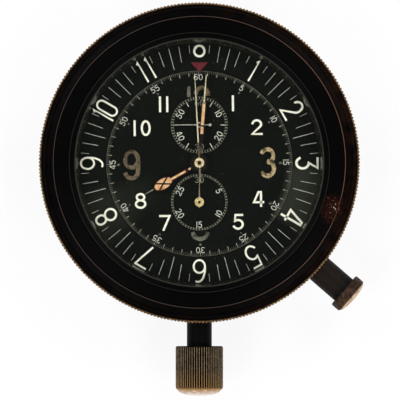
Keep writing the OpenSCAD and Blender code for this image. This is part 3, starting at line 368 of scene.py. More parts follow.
# %% [markdown]
# The printing is an oil ink, transfer-printed in a skin a few hundredths of a millimetre thick. Cream
# has aged unevenly, and the red of the marker has darkened. One finish between two tones serves them all.

# %% Printing inks
def ink(name, light, dark, roughness):
    """An oil ink with blotches of about a millimetre, between a light and a dark tone."""
    material, tree, shader, spot = new_finish(name)
    age = add(tree, NOISE, {"Vector": spot, "Scale": per_mm(1.0), "Detail": 3.0})
    age = add(tree, RANGE, {"Value": age, "From Min": 0.35, "From Max": 0.7})
    tone = add(tree, MIX, {FAC: age, A: linear(light), B: linear(dark)})
    rough = add(tree, RANGE, {"Value": age, "To Min": roughness - 0.1, "To Max": roughness + 0.1})
    wire(tree, shader, {"Base Color": tone, "Roughness": rough, "Specular IOR Level": 0.15})
    return material


cream_ink = ink("cream_oil_ink", "#f8f3e7", "#e8e0ce", 0.6)
white_ink = ink("white_oil_ink", "#ebe9de", "#d3d0c4", 0.6)
grey_ink = ink("thin_cream_ink", "#8d8a7d", "#5f5d54", 0.6)
thin_ink = ink("worn_cream_ink", "#cfc8b4", "#a29b88", 0.6)
red_ink = ink("red_oil_ink", "#5e1a22", "#48131a", 0.7)
print("inks:", cream_ink.name, white_ink.name, grey_ink.name, thin_ink.name, red_ink.name)

# %% [markdown]
# The glowing paint of the hands is a grainy paste of zinc sulphide in varnish, which has turned orange.
# The large numerals on the dial had the same paste; most of it has fallen off or gone brown. Grains of
# about a quarter of a millimetre stand out as bump and as colour.

# %% Glowing paint
def paste(name, light, dark, hole, hole_from, hole_to):
    """A grainy varnish paste in two tones, with dark holes where it has fallen out."""
    material, tree, shader, spot = new_finish(name)
    grit, blot = (
        add(tree, NOISE, {"Vector": spot, "Scale": per_mm(size), "Detail": 4.0})
        for size in (0.25, 0.9))
    patch = add(tree, RANGE, {"Value": blot, "From Min": 0.35, "From Max": 0.62, "To Max": 0.6})
    shade = add(tree, MATH, {0: grit, 1: 0.5, 2: patch}, operation="MULTIPLY_ADD")
    tone = add(tree, MIX, {FAC: shade, A: linear(light), B: linear(dark)})
    gone = add(tree, RANGE, {"Value": blot, "From Min": hole_from, "From Max": hole_to})
    tone = add(tree, MIX, {FAC: gone, A: tone, B: linear(hole)})
    lump = add(tree, BUMP, {"Height": grit, "Strength": 0.5, "Distance": 0.05 * MM})
    rough = add(tree, RANGE, {"Value": grit, "To Min": 0.7, "To Max": 0.95})
    wire(tree, shader, {"Base Color": tone, "Roughness": rough, "Normal": lump, "Specular IOR Level": 0.2})
    return material


orange_paste = paste("orange_paste", "#eccda4", "#cf8852", "#8a4a2a", 0.62, 0.74)
tan_paste = paste("tan_paste", "#d8bd90", "#56452f", "#2a2018", 0.52, 0.66)
brown_paste = paste("brown_paste", "#75654f", "#4c4032", "#231c16", 0.52, 0.66)
grey_paste = paste("grey_paste", "#7c7868", "#47453a", "#171713", 0.5, 0.62)
print("pastes:", orange_paste.name, tan_paste.name, brown_paste.name, grey_paste.name)

# %% [markdown]
# Hands are stamped brass. The thin ends stay bright, the frames that hold the glowing paint have
# blackened, and near the hub the hands are dull. Separate pieces would need seams that a stamped hand
# does not have, so each finish changes with the distance from the axis of the dial.

# %% Hand brass
def stamped_brass(name, tones, stained, gleam, tail=None):
    """Stamped brass in tones that start at distances in mm from the axis, with a tone below the axis."""
    material, tree, shader, spot = new_finish(name)
    radius = from_axis(tree, spot)[1]
    spots = add(tree, NOISE, {"Vector": spot, "Scale": per_mm(0.6), "Detail": 4.0})
    tone = linear(tones[0][1])
    for start, code in tones[1:]:
        out = add(tree, RANGE, {
            "Value": radius, "From Min": (start - 0.2) * MM, "From Max": (start + 0.2) * MM})
        tone = add(tree, MIX, {FAC: out, A: tone, B: linear(code)})
    if tail:
        y = add(tree, "ShaderNodeSeparateXYZ", {"Vector": spot}).outputs["Y"]
        low = add(tree, RANGE, {"Value": y, "From Min": -1.0 * MM, "From Max": -1.4 * MM})
        tone = add(tree, MIX, {FAC: low, A: tone, B: linear(tail)})
    stain = add(tree, RANGE, {"Value": spots, "From Min": 0.45, "From Max": 0.7, "To Max": stained})
    tone = add(tree, MIX, {FAC: stain, A: tone, B: linear("#2c2014")})
    rough = add(tree, RANGE, {"Value": spots, "To Min": 0.4, "To Max": 0.65})
    wire(tree, shader, {
        "Base Color": tone, "Roughness": rough, "Metallic": gleam, "Specular IOR Level": 0.1})
    return material


sweep_brass = stamped_brass(
    "stamped_brass_bright", ((0, "#5e3f1e"), (0.6, "#e2cea6"), (1.35, "#5c4c3e"), (5.2, "#d6c6ac")),
    stained=0.7, gleam=0.2, tail="#857b64")
minute_brass = stamped_brass(
    "stamped_brass_half_black", ((0, "#1c1512"), (2.4, "#54443a"), (4.2, "#120b08"), (15.3, "#d6c7a4")),
    stained=0.6, gleam=0.1)
hour_brass = stamped_brass(
    "stamped_brass_blackened", ((0, "#0a0a09"), (3.2, "#280f07"), (13.3, "#8c8570")),
    stained=0.3, gleam=0.0)
seconds_brass = stamped_brass("stamped_brass_pale", ((0, "#b4ada2"),), stained=0.5, gleam=0.2)
counter_brass = stamped_brass(
    "stamped_brass_dull", ((0, "#7d7460"), (8.4, "#d3bb86")), stained=1.0, gleam=0.2)
print("hand finishes:", sweep_brass.name, minute_brass.name, hour_brass.name, seconds_brass.name)

# %% [markdown]
# The crown is turned brass with cut flutes, browned by handling: dark in the grooves from dirt and painted
# shade, crests bright with a painted highlight, bare brass at the outer corner, and a worn dome that pales
# to a painted highlight at its end. The mask is the distance from the crown's own axis.

# %% Crown brass
FLUTE_LOW, FLUTE_HIGH = 5.925, 6.0
# How far from the crown's end, in mm, each kind of wear and painted highlight starts and is full.
CORNER, ROUNDED, WORN, TIP = (7.0, 1.8), (2.3, 1.7), (1.75, 1.45), (1.7, 0.3)
crown_low, crown_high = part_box("crown")
crown_axis_z = (crown_low.z + crown_high.z) / 2
crown_end = crown_low.y
crown_brass, tree, shader, spot = new_finish("turned_brass_browned")
# Turned brass under old handling brown: painted highlight on the crests, dirt and painted shade in the
# grooves.
across = add(tree, VECTOR_MATH, {0: spot, 1: (0, 0, crown_axis_z)}, operation="SUBTRACT")
across = add(tree, VECTOR_MATH, {0: across, 1: (1, 0, 1)}, operation="MULTIPLY")
out = add(tree, VECTOR_MATH, {0: across}, operation="LENGTH")
crest = add(tree, RANGE, {"Value": out, "From Min": FLUTE_LOW * MM, "From Max": FLUTE_HIGH * MM})
stain = add(tree, NOISE, {"Vector": spot, "Scale": per_mm(1.0), "Detail": 4.0})
stain = add(tree, RANGE, {"Value": stain, "From Min": 0.35, "From Max": 0.65})
y = add(tree, "ShaderNodeSeparateXYZ", {"Vector": spot}).outputs["Y"]
patchy = add(tree, MATH, {0: stain, 1: 0.5 * MM, 2: y}, operation="MULTIPLY_ADD")
corner, rounded, worn, tip = (
    add(tree, RANGE, {
        "Value": along, "From Min": crown_end + start * MM, "From Max": crown_end + full * MM})
    for along, (start, full) in ((y, CORNER), (y, ROUNDED), (y, WORN), (patchy, TIP)))
metal = add(tree, MIX, {FAC: stain, A: linear("#8f7a5c"), B: linear("#5f4f3b")})
metal = add(tree, MIX, {FAC: corner, A: metal, B: linear("#a8834f")})
crest = add(tree, MATH, {0: crest, 1: rounded}, operation="MAXIMUM")
# Crests and their rounded ends take the metal tone as a painted highlight; the near-black grooves are dirt
# and painted shade.
groove = add(tree, MIX, {FAC: crest, A: linear("#070403"), B: metal})
# The dome pales to near white towards its end: worn brass and a painted highlight.
dome = add(tree, MIX, {FAC: tip, A: linear("#b8926e"), B: linear("#f1e8dc")})
bare = add(tree, MIX, {FAC: worn, A: groove, B: dome})
rough = add(tree, RANGE, {"Value": stain, "To Min": 0.4, "To Max": 0.6})
rough = add(tree, MATH, {0: worn, 1: -0.1, 2: rough}, operation="MULTIPLY_ADD")
gleam = add(tree, RANGE, {"Value": worn, "To Min": 0.3, "To Max": 1.0})
wire(tree, shader, {"Base Color": bare, "Roughness": rough, "Metallic": gleam, "Specular IOR Level": 0.2})
print("crown axis at z", round(crown_axis_z / MM, 2), "mm, end at y", round(crown_end / MM, 2), "mm")

# %% [markdown]
# The pusher is one turned piece. Its shank has a matt dark patina and darkens to a painted shadow just
# under the cap, the rim of its cap is brown, and the domed face carries a pale painted highlight. The
# distance along the pusher tells them apart.

# %% Pusher bronze
PUSH_ANGLE = math.radians(-41)
CAP_FROM, FACE_FROM = 48.45, 50.95
CAP, FACE = (CAP_FROM, CAP_FROM + 0.04), (FACE_FROM, FACE_FROM + 0.3)
# Where the shank darkens to a painted shadow of the cap, in mm along the pusher.
CAP_SHADOW = (CAP_FROM - 3.0, CAP_FROM - 0.3)
pusher_bronze, tree, shader, spot = new_finish("turned_bronze_patina")
# Turned bronze: brown where it is handled, almost black with patina where it is not.
along = add(tree, VECTOR_MATH, {
    0: spot, 1: (math.cos(PUSH_ANGLE), math.sin(PUSH_ANGLE), 0)}, operation="DOT_PRODUCT")
cap, face, cap_shadow = (
    add(tree, RANGE, {"Value": along, "From Min": start * MM, "From Max": full * MM})
    for start, full in (CAP, FACE, CAP_SHADOW))
spots = add(tree, NOISE, {"Vector": spot, "Scale": per_mm(0.9), "Detail": 5.0})
spots = add(tree, RANGE, {"Value": spots, "From Min": 0.35, "From Max": 0.65})
shank, bronze, highlight_tone = (
    add(tree, MIX, {FAC: spots, A: linear(light), B: linear(dark)})
    for light, dark in (("#150f0a", "#20160f"), ("#463225", "#20150d"), ("#ecd2b0", "#b89272")))
# Painted shadow: the shank darkens to near black just under the cap.
shank = add(tree, MIX, {FAC: cap_shadow, A: shank, B: linear("#050302")})
tone = add(tree, MIX, {FAC: cap, A: shank, B: bronze})
# Painted highlight: the domed face goes pale cream.
tone = add(tree, MIX, {FAC: face, A: tone, B: highlight_tone})
gleam = add(tree, RANGE, {"Value": face, "To Max": 0.9})
rough = add(tree, RANGE, {"Value": spots, "To Min": 0.5, "To Max": 0.7})
wire(tree, shader, {"Base Color": tone, "Roughness": rough, "Metallic": gleam, "Specular IOR Level": 0.1})
print("pusher cap starts", CAP_FROM, "mm from the axis")

# %% [markdown]
# The crystal is a shallow dome of mineral glass. Light has to reach the dial through it, so rays to the
# lamps pass it as if it were clear, and so do rays that the dial scatters: otherwise the dial would be
# lit twice, once straight and once through the glass. Every other ray sees real glass.

# %% Crystal glass
crystal_glass, tree, shader, spot = new_finish("mineral_glass")
# Pressed and polished mineral glass: clear, with a trace of haze from fine scratches.
tint = linear("#fbfdfb")
haze = add(tree, NOISE, {"Vector": spot, "Scale": per_mm(9.0), "Detail": 5.0})
haze = add(tree, RANGE, {"Value": haze, "To Min": 0.0, "To Max": 0.03})
wire(tree, shader, {"Base Color": tint, "Roughness": haze, "IOR": 1.5, "Transmission Weight": 1.0})
path = add(tree, "ShaderNodeLightPath", {})
passes = add(tree, MATH, {
    0: path.outputs["Is Shadow Ray"], 1: path.outputs["Is Diffuse Ray"]}, operation="MAXIMUM")
clear = add(tree, "ShaderNodeBsdfTransparent", {"Color": tint})
both = add(tree, "ShaderNodeMixShader", {0: passes, 1: shader, 2: clear})
wire(tree, tree.nodes["Material Output"], {"Surface": both})
print("glass index:", shader.inputs["IOR"].default_value)

# %% [markdown]
# Behind the dial the movement is gilt brass and steel. It hardly ever shows, but a part is used with its
# case open too, so these metals get their grain: straight brushing for steel, a fine matt for gilding.
# The arbors that carry the hands come through the dial, and there their ends have blackened.

# %% Metals of the movement
def worked_metal(name, light, dark, roughness, stretch, black_from=None):
    """A metal with lines of about 0.15 mm, drawn out along x by the stretch, black above a height in mm."""
    material, tree, shader, spot = new_finish(name)
    drawn = add(tree, "ShaderNodeMapping", {"Vector": spot, "Scale": (1 / stretch, 1, 1)})
    grain = add(tree, NOISE, {"Vector": drawn, "Scale": per_mm(0.15), "Detail": 3.0})
    tone = add(tree, MIX, {FAC: grain, A: linear(light), B: linear(dark)})
    rough = add(tree, RANGE, {"Value": grain, "To Min": roughness - 0.08, "To Max": roughness + 0.08})
    lines = add(tree, BUMP, {"Height": grain, "Strength": 0.1, "Distance": 0.01 * MM})
    if black_from is not None:
        z = add(tree, "ShaderNodeSeparateXYZ", {"Vector": spot}).outputs["Z"]
        above = add(tree, RANGE, {
            "Value": z, "From Min": black_from * MM, "From Max": (black_from + 0.1) * MM})
        tone = add(tree, MIX, {FAC: above, A: tone, B: linear("#1a0f0a")})
    wire(tree, shader, {"Base Color": tone, "Roughness": rough, "Metallic": 1.0, "Normal": lines})
    return material


dial_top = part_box("dial")[1].z / MM
TIP_BLACK = dial_top + 0.1
GILT, STEEL = ("#dfb866", "#c79c4a"), ("#c4c6c8", "#a2a5a8")
gilt_brass = worked_metal("gilt_brass_matt", *GILT, 0.38, 1.0)
steel = worked_metal("brushed_steel", *STEEL, 0.28, 12.0)
gilt_tip = worked_metal("gilt_brass_black_tip", *GILT, 0.45, 1.0, TIP_BLACK)
steel_tip = worked_metal("brushed_steel_black_tip", *STEEL, 0.45, 12.0, TIP_BLACK)
blue_steel = worked_metal("blued_steel", "#2c3f86", "#1c2a5e", 0.25, 8.0)
print("movement metals:", gilt_brass.name, steel.name, blue_steel.name)

# %% [markdown]
# The pivots turn in jewels of ruby, and a rubber ring seals the back. Both are small and hidden, so a
# streak or a bloom is all the pattern that they need.

# %% Ruby and rubber
ruby, tree, shader, spot = new_finish("polished_ruby")
# Synthetic ruby, polished: deep red and glossy, a little lighter in streaks from its growth.
growth = add(tree, NOISE, {"Vector": spot, "Scale": per_mm(0.5), "Detail": 2.0})
tone = add(tree, MIX, {FAC: growth, A: linear("#8e1230"), B: linear("#b8203f")})
wire(tree, shader, {"Base Color": tone, "Roughness": 0.08, "IOR": 1.76})

rubber, tree, shader, spot = new_finish("moulded_rubber")
# Moulded rubber: matt black with a bloom that dulls it in spots.
bloom = add(tree, NOISE, {"Vector": spot, "Scale": per_mm(0.8), "Detail": 4.0})
tone = add(tree, MIX, {FAC: bloom, A: linear("#161616"), B: linear("#262524")})
rough = add(tree, RANGE, {"Value": bloom, "To Min": 0.7, "To Max": 0.9})
wire(tree, shader, {"Base Color": tone, "Roughness": rough, "IOR": 1.52})
print("made", ruby.name, "and", rubber.name)

# %% [markdown]
# Every node of the model takes the finish of its slot in the record, apart from the few that have a
# finish of their own.

# %% Finishes on the nodes
BY_SLOT = {
    "black_case": case_black, "glass": crystal_glass, "dial_black": dial_black, "worn_brass": crown_brass,
    "gilt": gilt_brass, "hand_brass": sweep_brass, "hand_dark": hour_brass, "steel": steel,
    "blued_steel": blue_steel, "ruby": ruby, "gasket": rubber,
}
BY_NODE = {
    "bezel": bezel_black, "crystal_ring": wall_black, "pusher": pusher_bronze, "minute_hand": minute_brass,
    "seconds_hand": seconds_brass, "counter_hand": counter_brass, "chronograph_wheel": gilt_tip,
    "hour_wheel": gilt_tip, "center_wheel": gilt_tip, "cannon_pinion": steel_tip,
    "fourth_wheel": gilt_tip, "counter_wheel": gilt_tip,
}
for part in frame["record"]["subparts"]:
    finishes = nodes[part["node"]].data.materials
    finishes.clear()
    finishes.append(BY_NODE.get(part["node"]) or BY_SLOT[part["material_slot"]])

# %% [markdown]
# Numerals are strokes of even width, as an engraver's pantograph makes them. A font would bring letter
# shapes of its own, so each digit is a few lines and arcs in a unit square, widened to flat ribbons.

# %% Ribbons
def arc(x, y, rx, ry, start, end, steps=14):
    """Points on an ellipse between two angles in degrees."""
    turns = [math.radians(start + (end - start) * k / steps) for k in range(steps + 1)]
    return [Vector((x + rx * math.cos(t), y + ry * math.sin(t))) for t in turns]


def loop(x, y, rx, ry, count=24):
    """Points all round an ellipse, without the first one again."""
    return arc(x, y, rx, ry, 0, 360 - 360 / count, count - 1)


MITRE_LIMIT = 0.6


def ribbon(bm, line, width, low, high, closed=False):
    """A flat closed solid along a line in the plane, in mm, from height low to high."""
    rows = []
    for i, here in enumerate(line):
        before = line[i - 1] if closed or i > 0 else None
        after = line[(i + 1) % len(line)] if closed or i < len(line) - 1 else None
        steps = [here - before] if before is not None else []
        steps += [after - here] if after is not None else []
        sides = [Vector((-s.y, s.x)).normalized() for s in steps]
        side = sum(sides, Vector((0, 0))).normalized()
        reach = side * (width / 2 / max(side.dot(sides[0]), MITRE_LIMIT))
        corners = ((here + reach, high), (here - reach, high), (here - reach, low), (here + reach, low))
        rows.append([bm.verts.new((p.x, p.y, z)) for p, z in corners])
    pairs = list(zip(rows, rows[1:])) + ([(rows[-1], rows[0])] if closed else [])
    for a, b in pairs:
        for k in range(4):
            bm.faces.new((a[k], a[(k + 1) % 4], b[(k + 1) % 4], b[k]))
    if not closed:
        bm.faces.new(rows[0][::-1])
        bm.faces.new(rows[-1])


# %% Pieces
def seat(thing, body):
    """Lets a piece ride on its body."""
    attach(thing, body)
    print(thing.name, "has", len(thing.data.polygons), "faces")


def piece(name, bm, material, body):
    """A finished piece from a mesh in mm: outward faces, its finish and its body."""
    bmesh.ops.recalc_face_normals(bm, faces=bm.faces[:])
    bm.transform(Matrix.Scale(MM, 4))
    thing = as_object(name, bm)
    thing.data.materials.append(material)
    seat(thing, body)


# %% Digits
def points(*pairs):
    """Points of the plane from pairs of numbers."""
    return [Vector(pair) for pair in pairs]


SIX = [(loop(0.5, 0.3, 0.5, 0.3), True), (arc(0.62, 0.4, 0.62, 0.6, 185, 78), False)]
STROKES = {  # each stroke as its points and whether it closes
    "0": [(loop(0.5, 0.5, 0.5, 0.5), True)],
    "1": [(points((0, 1), (0, 0)), False)],
    "2": [(arc(0.5, 0.72, 0.46, 0.28, 165, -35) + points((0, 0), (1, 0)), False)],
    "3": [(arc(0.46, 0.75, 0.46, 0.25, 155, -80), False), (arc(0.47, 0.27, 0.5, 0.27, 85, -150), False)],
    "4": [(points((0.78, 0), (0.78, 1), (0.52, 1), (0.02, 0.26), (1, 0.26)), False)],
    "5": [(points((0.9, 1), (0.2, 1), (0.12, 0.56)) + arc(0.46, 0.32, 0.5, 0.32, 125, -150), False)],
    "6": SIX,
    "7": [(points((0, 1), (1, 1), (0.35, 0)), False)],
    "8": [(loop(0.5, 0.77, 0.4, 0.23), True), (loop(0.5, 0.27, 0.5, 0.27), True)],
    "9": [([Vector((1 - p.x, 1 - p.y)) for p in line], closed) for line, closed in SIX],
}
FLAGGED = dict(STROKES)  # the ring has a flag on its one, a flat top on its three and a slim nought
FLAGGED["0"] = [(arc(0.4, 0.78, 0.4, 0.22, 0, 180) + arc(0.4, 0.22, 0.4, 0.22, 180, 360), True)]
FLAGGED["1"] = [(points((-0.1, 0.93), (0, 1), (0, 0)), False)]
FLAGGED["3"] = [(points((0.05, 1), (0.92, 1), (0.45, 0.6)) + arc(0.47, 0.3, 0.5, 0.3, 88, -150), False)]

# %% Numbers
INK, SUNK_IN, LAP = 0.02, 0.01, 0.002  # how far ink stands on a face, lies in it, and laps over itself
FLAG_WIDE = 0.17  # width of a flagged one, as a share of the other digits


def number(bm, text, at, turn, size, stroke, gap, top, flag=False):
    """A number of height size[1], centred at a point and turned, as ribbons with square ends on a face."""
    half = stroke / 2
    strokes = FLAGGED if flag else STROKES
    reach = size[0] - stroke
    widths = [(FLAG_WIDE * size[0] if flag else 0.0) if c == "1" else reach for c in text]
    x = -(sum(widths) + gap * (len(text) - 1)) / 2
    place = Matrix.Rotation(math.radians(turn), 2)
    lift = 0.0
    for char, wide in zip(text, widths):
        start = x + (wide if char == "1" else 0.0)
        for line, closed in strokes[char]:
            spots = [Vector((start + p.x * reach, (p.y - 0.5) * (size[1] - stroke))) for p in line]
            if not closed:
                spots[0] += (spots[0] - spots[1]).normalized() * half
                spots[-1] += (spots[-1] - spots[-2]).normalized() * half
            laid = [place @ p + Vector(at) for p in spots]
            ribbon(bm, laid, stroke, top - SUNK_IN, top + INK + lift, closed)
            lift += LAP
        x += wide + gap


ring_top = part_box("hour_ring")[1].z / MM
print("dial face at", round(dial_top, 2), "mm, ring face at", round(ring_top, 2), "mm")

# %% [markdown]
# Tick marks are the one thing that repeats by the hundred. A Geometry Nodes tree lays small bars round a
# circle, in groups where a scale needs them, and its inputs are the sizes that a dial maker would name.

# %% Trees with named inputs
def named_tree(name, sizes):
    """A Geometry Nodes tree with named inputs: the tree, its input sockets and their identifiers."""
    tree = bpy.data.node_groups.new(name, "GeometryNodeTree")
    new_socket = tree.interface.new_socket
    ids = {label: new_socket(label, in_out="INPUT", socket_type="NodeSocket" + kind).identifier
           for label, kind in sizes}
    new_socket("Mesh", in_out="OUTPUT", socket_type="NodeSocketGeometry")
    return tree, add(tree, "NodeGroupInput", {}).outputs, ids


def bake(name, tree, ids, values, body):
    """Runs a tree with these inputs, keeps the mesh it makes and lets the modifier go."""
    thing = bpy.data.objects.new(name, bpy.data.meshes.new(name))
    scene.collection.objects.link(thing)
    modifier = thing.modifiers.new("made", "NODES")
    modifier.node_group = tree
    for label, value in values.items():
        modifier[ids[label]] = value
    graph = bpy.context.evaluated_depsgraph_get()
    mesh = bpy.data.meshes.new_from_object(thing.evaluated_get(graph))
    thing.modifiers.clear()
    thing.data = mesh
    seat(thing, body)
    return thing


# %% Tick tree
tick_tree, given, tick_id = named_tree("ticks_round_a_dial", (
    ("Count", "Int"), ("Per group", "Int"), ("Group step", "Float"), ("Inner step", "Float"),
    ("First", "Float"), ("Centre x", "Float"), ("Centre y", "Float"), ("Outer radius", "Float"),
    ("Length", "Float"), ("Width", "Float"), ("Thickness", "Float"), ("Level", "Float"),
    ("Ink", "Material")))
index = add(tick_tree, "GeometryNodeInputIndex", {})
group, inner = (
    add(tick_tree, MATH, {0: index, 1: given["Per group"]}, operation=part)
    for part in ("DIVIDE", "MODULO"))
group = add(tick_tree, MATH, {0: group}, operation="FLOOR")
angle = given["First"]
for count, step in ((group, "Group step"), (inner, "Inner step")):
    angle = add(tick_tree, MATH, {0: count, 1: given[step], 2: angle}, operation="MULTIPLY_ADD")
angle = add(tick_tree, MATH, {0: angle}, operation="RADIANS")
middle = add(tick_tree, MATH, {
    0: given["Length"], 1: -0.5, 2: given["Outer radius"]}, operation="MULTIPLY_ADD")
place = {2: given["Level"]}
for axis, (wave, centre) in enumerate((("SINE", "Centre x"), ("COSINE", "Centre y"))):
    share = add(tick_tree, MATH, {0: angle}, operation=wave)
    place[axis] = add(tick_tree, MATH, {0: share, 1: middle, 2: given[centre]}, operation="MULTIPLY_ADD")
spots = add(tick_tree, "ShaderNodeCombineXYZ", place)
marks = add(tick_tree, "GeometryNodePoints", {"Count": given["Count"], "Position": spots})
size = add(tick_tree, "ShaderNodeCombineXYZ", {
    0: given["Width"], 1: given["Length"], 2: given["Thickness"]})
bar = add(tick_tree, "GeometryNodeMeshCube", {"Size": size})
turn = add(tick_tree, MATH, {0: angle, 1: -1.0}, operation="MULTIPLY")
turn = add(tick_tree, "ShaderNodeCombineXYZ", {2: turn})
turn = add(tick_tree, "FunctionNodeEulerToRotation", {0: turn})
laid = add(tick_tree, "GeometryNodeInstanceOnPoints", {"Points": marks, "Instance": bar, "Rotation": turn})
real = add(tick_tree, "GeometryNodeRealizeInstances", {0: laid})
inked = add(tick_tree, "GeometryNodeSetMaterial", {"Geometry": real, "Material": given["Ink"]})
add(tick_tree, "NodeGroupOutput", {0: inked})
print("tick tree has", len(tick_tree.nodes), "nodes")

# %% Scales of ticks
TICK_T = INK + 0.011


def ticks(name, body, ink_used, count, first, outer, length, width, face, per_group=1, inner_step=0.0,
          centre=(0.0, 0.0)):
    """Bakes one scale of ticks, sizes in mm, angles clockwise from the top in degrees."""
    values = {
        "Count": count, "Per group": per_group, "Group step": 360.0 * per_group / count,
        "Inner step": float(inner_step), "First": float(first), "Centre x": centre[0] * MM,
        "Centre y": centre[1] * MM, "Outer radius": outer * MM, "Length": length * MM, "Width": width * MM,
        "Thickness": TICK_T * MM, "Level": (face - SUNK_IN + TICK_T / 2) * MM, "Ink": ink_used}
    bake(name, tick_tree, tick_id, values, body)


# %% [markdown]
# The turning ring carries twelve hours of its own: long ticks at half past, medium and short ones
# beside them, slim numerals with their tops outward, a small round nought and a red marker.

# %% Ring scale
RING_TICK_OUT = 29.65
RING_TICKS = (  # name, count, first angle, inner radius, width, ticks in a group, step in a group
    ("ring_ticks_long", 12, 15, 24.36, 0.095, 1, 0),
    ("ring_ticks_medium", 24, 10, 25.78, 0.09, 2, 10),
    ("ring_ticks_short", 24, 5, 27.8, 0.075, 2, 20),
)
for name, count, first, inner, width, per_group, step in RING_TICKS:
    ticks(name, "bezel", white_ink, count, first, RING_TICK_OUT, RING_TICK_OUT - inner, width, ring_top,
          per_group, step)

# %% Ring numerals
def on_circle(radius, angle, centre=(0.0, 0.0)):
    """The point at a radius and a clockwise angle from the top."""
    a = math.radians(angle)
    return (centre[0] + radius * math.sin(a), centre[1] + radius * math.cos(a))


RING_NUMERAL_R, RING_NUMERAL, RING_STROKE = 26.95, (3.3, 5.8), 0.47
RING_GAP, TEN_GAP = 1.65, 0.85
HEAVY = {2: 0.53, 3: 0.58, 4: 0.56, 8: 0.52}
NOUGHT_AT, NOUGHT_R, NOUGHT_STROKE = 28.2, 1.28, 0.55
bm = bmesh.new()
for hour in range(1, 12):
    gap, stroke = TEN_GAP if hour == 10 else RING_GAP, HEAVY.get(hour, RING_STROKE)
    at = on_circle(RING_NUMERAL_R, 30 * hour)
    number(bm, str(hour), at, -30 * hour, RING_NUMERAL, stroke, gap, ring_top, flag=True)
nought = loop(0, NOUGHT_AT, NOUGHT_R, NOUGHT_R, 30)
ribbon(bm, nought, NOUGHT_STROKE, ring_top - SUNK_IN, ring_top + INK, True)
piece("ring_numerals", bm, cream_ink, "bezel")

# %% [markdown]
# The red marker is a small plate on the ring whose point reaches over the inner edge to the seconds
# track. A painted triangle would end at that edge, so it is a thin solid of its own.

# %% Red marker
def prism(bm, outline, low, high, dome=0.0):
    """A closed solid on a plane outline in mm, its top raised by dome towards the middle."""
    middle = sum(outline, Vector((0, 0))) / len(outline)
    levels = [(1.0, low), (1.0, high), (0.6, high + 0.75 * dome)]
    rings = [[bm.verts.new((*(middle + (p - middle) * s), z)) for p in outline] for s, z in levels]
    count = len(outline)
    for a, b in zip(rings, rings[1:]):
        for k in range(count):
            bm.faces.new((a[k], a[(k + 1) % count], b[(k + 1) % count], b[k]))
    tip = bm.verts.new((*middle, high + dome))
    for k in range(count):
        bm.faces.new((rings[-1][k], rings[-1][(k + 1) % count], tip))
    bm.faces.new(rings[0][::-1])


MARKER_HALF, MARKER_OUT, MARKER_POINT, MARKER_T = 2.15, 25.4, 22.95, 0.15
bm = bmesh.new()
triangle = points((-MARKER_HALF, MARKER_OUT), (0, MARKER_POINT), (MARKER_HALF, MARKER_OUT))
prism(bm, triangle, ring_top - SUNK_IN, ring_top + MARKER_T)
piece("ring_marker", bm, red_ink, "bezel")

# %% [markdown]
# The dial has a track of fifths of a second at its edge, eight plain numerals, and worn glowing ones.
# The whole printing sits three quarters of a degree round from the case, as it does on the real one.

# %% Dial track
SLIP = -0.75
TRACK_R, TRACK_LINE_R, TRACK_NUMERAL_R = 23.23, 23.28, 21.75
TRACK_LINE, TRACK_NUMERAL, TRACK_STROKE, TRACK_GAP = 0.08, (0.95, 1.5), 0.13, 0.4
ticks("track_ticks_fifths", "case", grey_ink, 300, SLIP, TRACK_R, length=0.63, width=0.07, face=dial_top)
ticks("track_ticks_seconds", "case", thin_ink, 60, SLIP, TRACK_R, length=1.2, width=0.13, face=dial_top)
bm = bmesh.new()
circle = loop(0, 0, TRACK_LINE_R, TRACK_LINE_R, 240)
ribbon(bm, circle, TRACK_LINE, dial_top - SUNK_IN, dial_top + INK + 2 * LAP, True)
piece("track_line", bm, grey_ink, "case")
bm = bmesh.new()
for second in range(5, 65, 5):
    angle = 6 * second + SLIP
    at = on_circle(TRACK_NUMERAL_R, angle)
    number(bm, str(second), at, -angle, TRACK_NUMERAL, TRACK_STROKE, TRACK_GAP, dial_top)
piece("track_numerals", bm, white_ink, "case")

# %% Dial numerals
DIAL_NUMERALS = {
    "1": (8.43, 15.14), "2": (14.43, 9.14), "4": (14.81, -8.89), "5": (9.79, -14.64),
    "7": (-8.61, -14.89), "8": (-14.74, -9.39), "10": (-14.36, 8.89), "11": (-8.97, 14.89)}
DIGIT_TALL, DIGIT_WIDE, DIGIT_SLIM, DIGIT_STROKE, DIGIT_GAP = 3.97, 2.9, 2.5, 0.54, 1.8
bm = bmesh.new()
for text, at in DIAL_NUMERALS.items():
    wide = DIGIT_WIDE if len(text) == 1 else DIGIT_SLIM
    number(bm, text, at, -SLIP, (wide, DIGIT_TALL), DIGIT_STROKE, DIGIT_GAP, dial_top)
piece("dial_numerals", bm, cream_ink, "case")

# %% [markdown]
# Two small dials are sunk a quarter of a millimetre. The upper one counts seconds in a plain railway
# track, the lower one counts thirty minutes. Their numerals stay readable, so they turn over below.

# %% Small dials
SUNK = 0.25
sub_top = dial_top - SUNK
UPPER, LOWER = (0.0, 9.7), (0.0, -9.7)
SMALL_LINE, SMALL_NUMERAL, SMALL_STROKE, SMALL_GAP = 0.05, (0.97, 1.55), 0.15, 0.42
ticks("seconds_ticks", "case", thin_ink, 60, 0, 7.1, length=0.56, width=0.1, face=sub_top, centre=UPPER)
ticks("seconds_bars", "case", cream_ink, 6, 30, 7.05, length=1.75, width=0.14, face=sub_top, centre=UPPER)
ticks("counter_ticks", "case", thin_ink, 60, 0, 7.0, length=0.38, width=0.1, face=sub_top, centre=LOWER)
bm = bmesh.new()
for centre, circles in ((UPPER, (7.13, 6.52)), (LOWER, (7.04, 6.6))):
    for n, radius in enumerate(circles):
        circle = loop(*centre, radius, radius, 90)
        ribbon(bm, circle, SMALL_LINE, sub_top - SUNK_IN, sub_top + INK + 2 * LAP + LAP * n, True)
piece("small_dial_lines", bm, grey_ink, "case")
clear_numbers, faint_numbers = bmesh.new(), bmesh.new()
SECONDS, MINUTES = (60, 10, 20, 30, 40, 50), (30, 5, 10, 15, 20, 25)
